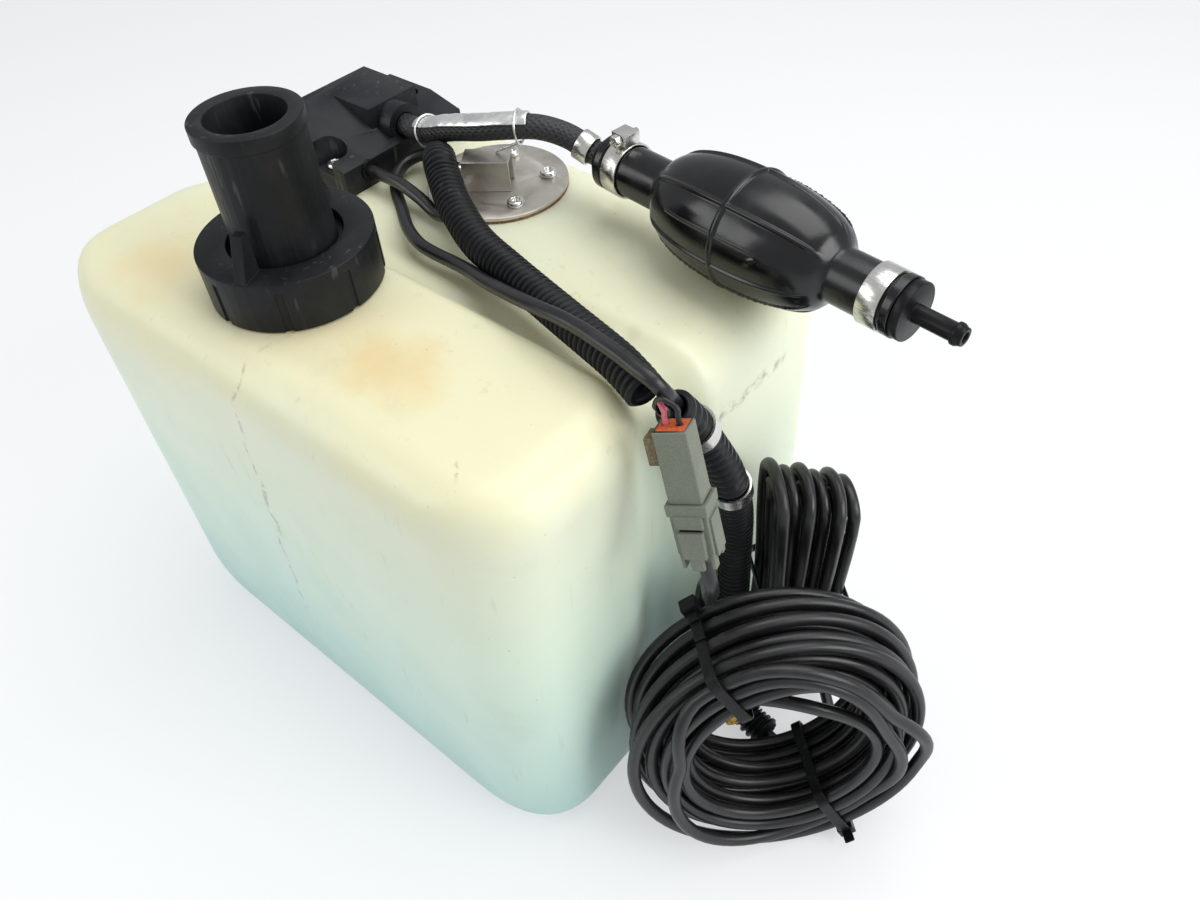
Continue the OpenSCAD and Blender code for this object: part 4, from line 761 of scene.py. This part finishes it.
LEAD = np.vstack([
    [conn_point([0, 0, z + PLUG_FOOT]) for z in (3, -3)],
    [[END_X + 36, -35.1, 173], [END_X + 34.4, -31.8, 162], [END_X + 28.5, -24.5, 147]],
    coil_place([[-26, 66, -28.1], [-28, 56, -28], [-26.5, 42, -27.1], [-25.5, 30, -22.7]]),
    coil_place(coil_points(2)[:1])])
HANK_PATH = hank_place(hank_points(72 * HANK_LAYERS + 1))
HANK_WAY = turned([1.0, 0, 0], HANK_YAW, "z")
HANK_LEAD = np.vstack([
    LOWER[-1] + np.array([[-6, 1.5, 0], [6, -0.8, -0.6], [15, 5, -2], [19, 16, -3], [18, 29, -2.5]]),
    [HANK_PATH[0] - 17 * HANK_WAY + [1, -1, 0], HANK_PATH[0] - 7 * HANK_WAY, HANK_PATH[0]]])
HANK_TAIL = np.vstack([
    [HANK_PATH[-1], HANK_PATH[-1] + 7 * HANK_WAY],
    HANK_PATH[-1] + np.array([[-9, 14, 0.5], [-9, 24, 1], [-7, 33, 1.5]])])
CORE_OUT = unit(LOWER[0] - LOWER[1])
CORE_MOUTH = LOWER[0] + [0, -2.6, -1.5]


def core_points(side):
    """A core of the connector, from the seal over a round bend to the mouth of the lower conduit."""
    wide, up = (unit(conn_point(q) - conn_point([0, 0, 0])) for q in ([1, 0, 0], [0, 0, 1]))
    at = CORE_MOUTH - side * 1.3 * wide
    middle = (conn_point([side * 2.2, 0.5, 6]) + at + 11 * CORE_OUT) / 2
    bend = middle + (3 + side * 1.2) * unit(up + CORE_OUT)
    leave = [conn_point([side * 2.5, 0, -3]), conn_point([side * 2.5, 0, 3]),
             conn_point([side * 2.4, 0.4, 6 + side * 0.8])]
    return np.array([*leave, bend, at + 9 * CORE_OUT, at + 4 * CORE_OUT, at - 4 * CORE_OUT])


def cord(piece, path, diameter, far_end, stiffness="medium", lay="loose", with_pieces=()):
    """Works out the length in metres of a tube's path, given in millimetres, and keeps nothing of it."""
    float(lengths(path)[-1]) * MM


def cable(name, path, node, sides=20, start=None, **facts):
    """A twin-core jacket: a round of the cable's width with a shallow valley along each flat,
    r(a) = R (1 - 0.10 (cos a)^12)."""
    a = np.arange(sides) / sides * TAU
    skin = CABLE_D / 2 * (1 - 0.10 * np.cos(a) ** 12)
    piece = surface(name, tube(path, skin[None], sides, start), JACKET, "cable_jacket", (node,))
    cord(piece, path, CABLE_D, **facts)


# The conduit's wide and narrow pitch, the depth of its ribs, rows of points to a rib, and rows in a mouth
RIB_WIDE, RIB_NARROW, RIB_DEPTH, RIB_ROWS, MOUTH_ROWS = 5.2, 3.1, 1.5, 10, 6


def corrugated(name, points, node, coarse=0.0):
    """A corrugated tube: wide ribs with narrow valleys, by two soft steps of the share f of each pitch,
    r = R - depth (1 - up(f) down(f)), with an open mouth that turns in to the bore at both ends.
    The pitch is wide over the coarse share of the length and narrow after it."""
    fine = route(points, 12)
    run = lengths(fine)
    ribs = np.r_[0, np.cumsum(np.diff(run) / np.where(run[1:] < coarse * run[-1], RIB_WIDE, RIB_NARROW))]
    count = int(round(ribs[-1]))
    path = at_lengths(fine, np.interp(np.linspace(0, ribs[-1], count * RIB_ROWS + 1), ribs, run))
    f = np.linspace(0, count, len(path)) % 1
    rib = smooth(0.05, 0.28, f) * (1 - smooth(0.62, 0.85, f))
    outer = tube(path, (CONDUIT_OD / 2 - RIB_DEPTH * (1 - rib))[:, None], 32)
    inner = tube(path, np.full((len(path), 1), CONDUIT_BORE / 2), 32)
    mouth = MOUTH_ROWS * RIB_ROWS
    grid = np.vstack([inner[:mouth:RIB_ROWS][::-1], outer, inner[-mouth::RIB_ROWS][::-1]])
    piece = surface(name, grid, CONDUIT, "black_plastic", (node,))
    return piece, fine


cable("coiled_cable", coil_place(coil_points(COIL_SAMPLES)), "harness_coil", 18,
      coil_place([0, 0, 1]) - COIL_AT, far_end="fitting", lay="coiled", with_pieces=[NODES["coil_ties"]])
cable("plug_lead", route(LEAD, 10), "harness_lead", far_end="object", lay="hanging")
cable("hanked_cable", HANK_PATH, "cable_hank", 18, far_end="object", lay="coiled",
      with_pieces=[NODES["hank_tie"]])
cable("hank_lead_in", route(HANK_LEAD, 10), "hank_lead", far_end="object")
cable("hank_tail_out", route(HANK_TAIL, 10), "hank_tail", far_end="plug", with_pieces=[NODES["hank_plug"]])
cable("sensor_lead", route(SENSOR, 10), "sensor_cable", far_end="object")
cable("branch_lead", route(BRANCH, 8), "branch_cable", far_end="object")
upper, upper_path = corrugated("upper_corrugated", UPPER, "upper_conduit")
cord(upper, upper_path, CONDUIT_OD, "object", "stiff")
lower, lower_path = corrugated("lower_corrugated", LOWER, "lower_conduit", 0.3)
cord(lower, lower_path, CONDUIT_OD, "object", "stiff", "hanging", [NODES["conduit_bands"]])
for name, side, finish, slot, node in [("pink_core", -1, PINK, "pink_jacket", "pink_wire"),
                                       ("black_core", 1, JACKET, "cable_jacket", "black_wire")]:
    path = route(core_points(side), 8)
    core = surface(name, tube(path, 1.0, 14), finish, slot, (node,))
    cord(core, path, 2.0, "object", "limp")
STUB = [(2.5, -6), (2.5, 5.2), (2.3, 5.6), (1.9, 5.6), (1.75, 3)]
surface("core_jacket", lathe(STUB, CORE_MOUTH, CORE_OUT, 32), JACKET, "cable_jacket", ())
HOSE_STEPS = 12
hose_path = route(HOSE_RUN, HOSE_STEPS)
hose_grid = tube(hose_path, HOSE_OD / 2, 40)
hose = surface("braided_oil_hose", hose_grid, HOSE, "black_rubber", ("oil_hose",))
cord(hose, hose_path, HOSE_OD, "object", "stiff", "loose")


# Tank

def tank_grid():
    """Rounded rectangles in XZ planes along Y. Width, top and bottom follow the corner rounds, the strap
    groove and the drop of the rear lobe. Two small dimples sink into the top as exp(-(d / w)^2), and the flat
    faces close to their middles."""
    half_d, half_l, high, edge = 106.5, 144.0, 234.0, 20.0
    corner_f, corner_r = 34.0, 21.0
    groove_end, groove_top, rear_drop = 11, 10, 6
    groove_from, groove_to, groove_out = -10, -2, 18
    dimples, dimple_deep, dimple_wide, dimple_above = [(43, 78), (105, 11)], 1.4, 3.2, 200
    turn = np.radians(np.linspace(0, 90, 12))
    front, rear = -half_d + corner_f, half_d - corner_r
    flat = np.linspace(front, rear, 76)[1:-1]
    y = np.r_[front - corner_f * np.cos(turn), flat, rear + corner_r * np.sin(turn)]

    def groove(soft):
        return smooth(groove_from - soft, groove_from, y) * (1 - smooth(groove_to, groove_out, y))

    def inset(d, r):
        return np.where(d >= r, 0, r - np.sqrt(np.maximum(r * r - (r - d) ** 2, 0)))

    d = half_d - np.abs(y)
    w = half_l - inset(d, np.where(y < 0, corner_f, corner_r)) - groove_end * groove(28)
    low = inset(d, edge)
    top = high - rear_drop * smooth(-6, 14, y) - groove_top * groove(14) - inset(d, edge)
    a = np.radians(np.linspace(0, 90, 9))
    rings = []
    for c, sx, side_n in [(0, 1, 116), (1, -1, 84), (2, -1, 60), (3, 1, 84)]:
        mz = top - edge if c < 2 else low + edge
        q = a + c * np.pi / 2
        arc = np.stack([sx * (w - edge)[:, None] + edge * np.cos(q),
                        np.broadcast_to(y[:, None], (len(y), len(a))),
                        mz[:, None] + edge * np.sin(q)], -1)
        rings.append((arc, side_n))
    parts = []
    for c, (arc, n) in enumerate(rings):
        following = rings[(c + 1) % 4][0][:, :1]
        share = (np.arange(1, n) / n)[None, :, None]
        parts += [arc, arc[:, -1:] * (1 - share) + following * share]
    grid = np.concatenate(parts, 1)
    grid[..., 0] *= 1 - grid[..., 2] / high / half_l
    grid[..., 1] *= 1 - grid[..., 2] / high / half_d
    for dx, dy in dimples:
        away = np.hypot(grid[..., 0] - dx, grid[..., 1] - dy)
        grid[..., 2] -= dimple_deep * np.exp(-(away / dimple_wide) ** 2) * (grid[..., 2] > dimple_above)
    share = np.linspace(0, 0.985, 26)[1:, None, None]
    caps = []
    for ring in (grid[0], grid[-1]):
        middle = ring.mean(0)
        caps.append(ring[None] * (1 - share) + middle * share)
    return np.concatenate([caps[0][::-1], grid, caps[1]])


tank = surface("moulded_tank", tank_grid(), TANK, "tank_plastic", ("tank_body",))
# Height above which a face belongs to the tank's top
TOP_FROM = 215


def open_neck(obj, x, y, radius):
    """Takes out the faces of the top that lie inside a circle."""
    def inside(at):
        return at.z / MM > TOP_FROM and np.hypot(at.x / MM - x, at.y / MM - y) < radius

    with reworked(obj.data) as bm:
        gone = [f for f in bm.faces if inside(f.calc_center_median())]
        bmesh.ops.delete(bm, geom=gone, context="FACES")


NECK_AT, NECK_HOLE = (-22, -49), 24.6
open_neck(tank, *NECK_AT, NECK_HOLE)
NECK = [(23, 226), (23, 245.4), (23.6, 246), (26.9, 246), (27.5, 245.4), (27.5, 242.8), (29.1, 242.2),
        (29.1, 241.2), (27.5, 240.6), (27.5, 237.8), (29.1, 237.2), (29.1, 236.2), (27.5, 235.6), (27.5, 232),
        (23, 226)]
surface("tank_neck", lathe(NECK, (*NECK_AT, 0), (0, 0, 1), 72), TANK, "tank_plastic", ("tank_body",),
        caps=False)


# Filler, pickup and sender

eased("filler_spout", SPOUT, "charcoal_plastic", 0.7, 3, "spout")
eased("ring_nut", SPOUT, "charcoal_plastic", 0.8, 3, "ring")
eased("pickup_cover", COVER, "charcoal_plastic", 1.1, 3)
eased("hose_bracket", PLATE, "steel", 0.35)
eased("sender_plate", PLATE, "steel", 0.3)
eased("plate_gasket", CORK, "cork", 0.2)
# Radius and height of a pan head
HEAD_R, HEAD_H = 4.1, 2.6


def screw_head(at, spin):
    """A pan head as rings about its axis: z = H, rounded over a width at its edge, less a six-lobed recess,
    whose edge lies at 1.9 + 0.22 cos 6a."""
    edge, deep, sides = 1.5, 1.4, 48
    round_off = HEAD_R - edge * (1 - np.sin(np.linspace(0.3, 1, 9) * np.pi / 2))
    r = np.r_[0.05, np.linspace(0.5, 3.0, 14), round_off, HEAD_R]
    top = HEAD_H - edge + np.sqrt(np.maximum(edge ** 2 - np.maximum(r - HEAD_R + edge, 0) ** 2, 0))
    top[-1] = 0
    a = np.arange(sides) / sides * TAU
    lobe = 1.9 + 0.22 * np.cos(6 * a)
    inside = 1 - smooth(-0.14, 0.14, r[:, None] - lobe[None])
    z = top[:, None] - deep * inside
    turn = a + np.radians(spin)
    return np.array(at) + np.stack([r[:, None] * np.cos(turn), r[:, None] * np.sin(turn), z], -1)


PLATE_AT, PLATE_SCREW_R, PLATE_TOP = (-12.0, 60.0), 24.0, 230.8
PLATE_SCREWS = [(PLATE_AT[0] + PLATE_SCREW_R * np.cos(q), PLATE_AT[1] + PLATE_SCREW_R * np.sin(q), PLATE_TOP)
                for q in np.radians(-26 + 72 * np.arange(5))]
COVER_SEAT = 237.0
COVER_SCREWS = [(x, y, COVER_SEAT) for y, first in ((17.3, -77.0), (77.0, -89.0)) for x in (first, -113.0)]
for node, places in (("plate_screws", PLATE_SCREWS), ("cover_screws", COVER_SCREWS)):
    heads = [screw_head(at, 17 + 41 * k) for k, at in enumerate(places)]
    surface(node.replace("screws", "pan_heads"), heads, SCREW, "steel", (node,))
for node in ("pickup_flange", "outlet_barb", "suction_tube", "cable_gland", "level_float"):
    refinish(node, BLACK)
for node in ("spout_gasket", "pickup_gasket", "inlet_valve", "outlet_valve"):
    refinish(node, BULB)
for node in ("suction_strainer", "float_stem", "stem_clip"):
    refinish(node, STEEL)


# Oil line

# Spans of the hose that the channel covers, its turn about the hose, and its outer and inner radius
SADDLE_SPANS, SADDLE_TURN, SADDLE_OUT, SADDLE_IN = (7 / 3, 20 / 3), 32.0, 6.75, 5.85


def saddle_grid():
    """A half-round channel along the hose, turned to its back, with shallow dents as a sum of sines."""
    first, last = (int(round(k * HOSE_STEPS)) for k in SADDLE_SPANS)
    part = evenly(hose_path[first:last + 1], 120)
    t = unit(np.gradient(part, axis=0))
    side = unit(np.cross(t, [0, 0, 1.0]))
    up = np.cross(side, t)
    a = np.radians(SADDLE_TURN + np.linspace(2, 178, 41))
    s = lengths(part)[:, None]
    dent = 0.12 * np.sin(0.42 * s + 2 * a) * np.sin(0.17 * s + 1.3) + 0.06 * np.sin(1.1 * s - 4 * a)
    skins = []
    for r, flip in ((SADDLE_OUT, 1), (SADDLE_IN, -1)):
        b = a[::flip]
        rr = (r + dent[:, ::flip])[..., None]
        rim = np.cos(b)[None, :, None] * side[:, None] + np.sin(b)[None, :, None] * up[:, None]
        skins.append(part[:, None] + rr * rim)
    return np.concatenate(skins, 1)


surface("hose_channel", saddle_grid(), ZINC, "steel", ("hose_saddle",))
refinish("saddle_wires", ZINC)
eased("hose_crimp_band", STEEL, "steel", 0.25)


# Where the ribs, seams and arrow lie round the bulb, and half their widths
RIB_AT = np.radians(-20.0 + 60 * np.arange(6))
SEAM_AT, ARROW_AT = np.radians([-50.0, 130.0]), np.radians(70.0)
RIB_HALF, SEAM_HALF, SHAFT_HALF = 0.85, 0.5, 0.45


def gathered(low, high, count, places, reach):
    """Even samples between two limits, with closer ones within a reach of each place."""
    close = [at + reach * np.linspace(-1, 1, 13) for at in places]
    every = np.sort(np.r_[np.linspace(low, high, count), np.concatenate(close)])
    every = every[(every >= low) & (every <= high)]
    return every[np.r_[True, np.diff(every) > reach * 0.05]]


def bulb_grid():
    """r(s, a) about the bulb's axis: an ogive body with smooth necks, end beads, six long ribs, a girth rib,
    two rough seams and a raised arrow. A rib is exp(-(d / w)^4) of the distance d to its line; a seam's
    height is a saw of the run."""
    s = gathered(S_IN, S_OUT, 200, [0.0, S_IN + 4, S_OUT - 4], 1.8)
    u = np.clip(np.abs(s) / BULB_HALF, 0, 1)
    body = BULB_NECK + BULB_SWELL * np.sqrt(np.maximum(1 - u ** 2.2, 0))
    fine = np.linspace(S_IN, S_OUT, 1511)
    bell = np.exp(-np.linspace(-2.5, 2.5, 61) ** 2)
    soft = np.convolve(np.pad(np.interp(fine, s, body), 30, "edge"), bell / bell.sum(), "valid")
    body = np.interp(s, fine, soft)[:, None]
    a = gathered(-np.pi, np.pi, 145, (np.r_[RIB_AT, SEAM_AT, ARROW_AT] + np.pi) % TAU - np.pi, 0.09)[:-1]
    share = smooth(11.4, 15, body) * smooth(0, 9, BULB_HALF - np.abs(s))[:, None]

    def ridge(at, width):
        off = ((a - at + np.pi) % TAU - np.pi) * body
        return np.exp(-(off / width) ** 4)

    ribs = RIB_H * share * np.max([ridge(at, RIB_HALF) for at in RIB_AT], axis=0)
    tooth = 0.4 + 0.55 * ((0.53 * s + 0.3 * np.sin(0.9 * s)) % 1)[:, None]
    seam = tooth * share * np.max([ridge(at, SEAM_HALF) for at in SEAM_AT], axis=0)
    off = ((a - ARROW_AT + np.pi) % TAU - np.pi) * body
    shaft = (smooth(-27, -26, s) * (1 - smooth(21, 22, s)))[:, None] * ridge(ARROW_AT, SHAFT_HALF)
    barb = ((smooth(16, 17, s) * (1 - smooth(21.5, 22.5, s)))[:, None]
            * np.exp(-((off + 0.7 * (s[:, None] - 22)) / 0.6) ** 4))
    arrow = ARROW_H * np.maximum(shaft, barb)
    girth = GIRTH_H * np.exp(-s ** 4)[:, None]
    bead = BEAD_H * (smooth(S_IN + 4.2, S_IN + 3.6, s) + smooth(S_OUT - 4.2, S_OUT - 3.6, s))[:, None]
    r = body + np.max([ribs + 0 * body, girth + 0 * ribs, seam, arrow], axis=0) + bead
    v = np.cross(BULB_WAY, [0, 0, 1.0])
    rim = np.cos(a)[:, None] * np.array([0, 0, 1.0]) + np.sin(a)[:, None] * v
    return BULB_AT + s[:, None, None] * BULB_WAY + r[..., None] * rim[None]


surface("squeeze_bulb", bulb_grid(), BULB, "black_rubber", ("primer_bulb",))
for node, width in (("inlet_clamp_band", 0.25), ("inlet_clamp_housing", 0.4), ("outlet_clamp", 0.25)):
    eased(node, STEEL, "steel", width)
eased("inlet_clamp_screw", STEEL, "steel", 0.2, 2, "worm")
eased("outlet_fitting", BLACK, "black_plastic", 0.3)
eased("bulb_inlet_fitting", BLACK, "black_plastic", 0.3)


# Connector, ties and terminals

eased("connector_receptacle", GREY, "grey_plastic", 0.6, 3)
eased("connector_clip", BRONZE, "bronze_clip", 0.4)
eased("connector_seal", ORANGE, "orange_seal", 0.3)
PLUG = [((-7.2, -5.8, -52.5), (7.2, 5.8, -29.2), 0.94), ((-8, -6.5, -34), (8, 6.5, -29.2), 0.97),
        ((-5.4, -7.0, -39.0), (5.4, -5, -33.4), 1.0), ((-4.9, -8.0, -51.5), (4.9, -5, -40.2), 0.90),
        ((-5.6, -5.0, -54.5), (5.6, 5.0, -51), 0.92), ((-2.7, -7.4, -57), (2.7, -5.4, -50), 0.92),
        ((-6.7, -6.0, -57), (-4.9, -2.2, -50), 0.9), ((4.9, -6.0, -57), (6.7, -2.2, -50), 0.9),
        ((-6.7, 2.6, -56), (-4.9, 5.6, -50), 0.9), ((4.9, 2.6, -56), (6.7, 5.6, -50), 0.9),
        ((6.6, -4.2, -52), (8.0, 4.2, -36), 1.0), ((-8.0, -4.2, -52), (-6.6, 4.2, -36), 1.0)]
blocks("plug_shell", PLUG, conn_point, GREY, "grey_plastic", ("connector_plug",), 0.45, 3)
PLUG_SLOT = [((-4.1, -6.3, -40.1), (4.1, -5.6, -39.1), 1.0)]
blocks("plug_slot", PLUG_SLOT, conn_point, BLACK, "black_plastic", (), 0.1)

# A tie's width and thickness, the length of its head, and how far the coil's ties sit outwards
TIE_W, TIE_T, TIE_HEAD, TIE_OUT = 4.8, 1.2, 6.5, 0.9


def strap_grid(place, w, t, gap, corner=4.5):
    """A flat strap round a rounded rectangle of w by t in the first two axes of a frame, from the gap's one
    side to its other at the middle of the right side. The section is a flat oval in the third axis."""
    rows, cols = 90, 20
    a = np.radians(np.linspace(0, 90, 9))
    x, y = w / 2 + TIE_T / 2 - corner, t / 2 + TIE_T / 2 - corner
    arcs = [np.stack([sx * x + corner * np.cos(a + q), sy * y + corner * np.sin(a + q)], -1)
            for sx, sy, q in ((1, 1, 0), (-1, 1, np.pi / 2), (-1, -1, np.pi), (1, -1, 1.5 * np.pi))]
    ring = np.vstack([[[x + corner, gap]], *arcs, [[x + corner, -gap]]])
    path = evenly(np.c_[ring, np.zeros(len(ring))], rows)
    way = unit(np.gradient(path, axis=0))
    out = np.stack([way[:, 1], -way[:, 0]], -1)
    q = np.arange(cols) / cols * TAU
    across, thick = (np.sign(v) * np.abs(v) ** 0.3 for v in (np.cos(q), np.sin(q)))
    grid = np.empty((rows, cols, 3))
    grid[..., :2] = path[:, None, :2] + TIE_T / 2 * thick[None, :, None] * out[:, None]
    grid[..., 2] = TIE_W / 2 * across
    return place(grid)


def tie(name, node, frames, w, t, heads):
    """Straps with their heads, one for each frame and place along the strap's outer side."""
    straps = [strap_grid(place, w, t, 0.5) for place in frames]
    surface(name + "_straps", straps, BLACK, "black_plastic", (node,))
    half = TIE_HEAD / 2
    x = w / 2 + TIE_T / 2
    for k, (place, y) in enumerate(zip(frames, heads)):
        head = ((x - 1.2, y - half, -half - 0.6), (x + 4.9, y + half, half + 0.6), 1.0)
        tail = ((x + 1.2, y + half, -TIE_W / 2), (x + 2.4, y + half + 5, TIE_W / 2), 1.0)
        blocks(f"{name}_head_{k}", [head, tail], place, BLACK, "black_plastic", (), 0.6, 3)


def coil_frame(angle):
    """A frame on the coil's ring: outwards, along the coil's axis, and along the ring."""
    middle = (COIL_R + COIL_IN) / 2 + TIE_OUT
    c, s = np.cos(np.radians(angle)), np.sin(np.radians(angle))

    def place(q):
        q = np.asarray(q, float)
        r = middle + q[..., 0]
        return coil_place(np.stack([r * c - q[..., 2] * s, r * s + q[..., 2] * c, q[..., 1]], -1))
    return place


def hank_frame(q):
    """A frame at the hank's waist: along the loops' width, across the loops and upwards."""
    q = np.asarray(q, float)
    return hank_place(np.stack([q[..., 0], q[..., 2], q[..., 1]], -1))


COIL_RIM = COIL_HALF + CABLE_D / 2 + RUN_GAP - TIE_HEAD / 2
tie("coil_tie", "coil_ties", [coil_frame(119), coil_frame(-64)], COIL_R - COIL_IN + CABLE_D + 3.4,
    2 * COIL_HALF + CABLE_D + 0.6, [-COIL_RIM, COIL_RIM])
tie("hank_tie", "hank_tie", [hank_frame], 2 * HANK_REACH * HANK_WAIST + CABLE_D + 1.4,
    2 * HANK_HALF * HANK_WAIST + CABLE_D + 1.4, [0.0])


# Distance along the terminals to their eyes, and across them to the second sleeve
EYE_FROM, SLEEVES_APART = 16.5, 4.5


def terminals():
    """The two ring terminals: a red and a yellow sleeve, with the eyes in dull metal."""
    obj = eased("coil_terminals", RED, "red_sleeve", 0.2)
    for finish in (YELLOW, PLATE):
        obj.data.materials.append(finish)
    ends = coil_place(coil_points(COIL_SAMPLES)[-2:])
    start = ends[1] * MM
    inward = unit(COIL_AT * MM - start)
    way = unit(unit((ends[1] - ends[0]) * MM) + 0.8 * inward)
    for face in obj.data.polygons:
        off = np.array(face.center) - start
        beside = off @ unit(inward - way * (inward @ way))
        face.material_index = 2 if off @ way > EYE_FROM * MM else int(beside > SLEEVES_APART * MM)


terminals()
eased("hank_plug", BLACK, "black_plastic", 0.8, 3)
refinish("conduit_bands", STEEL)
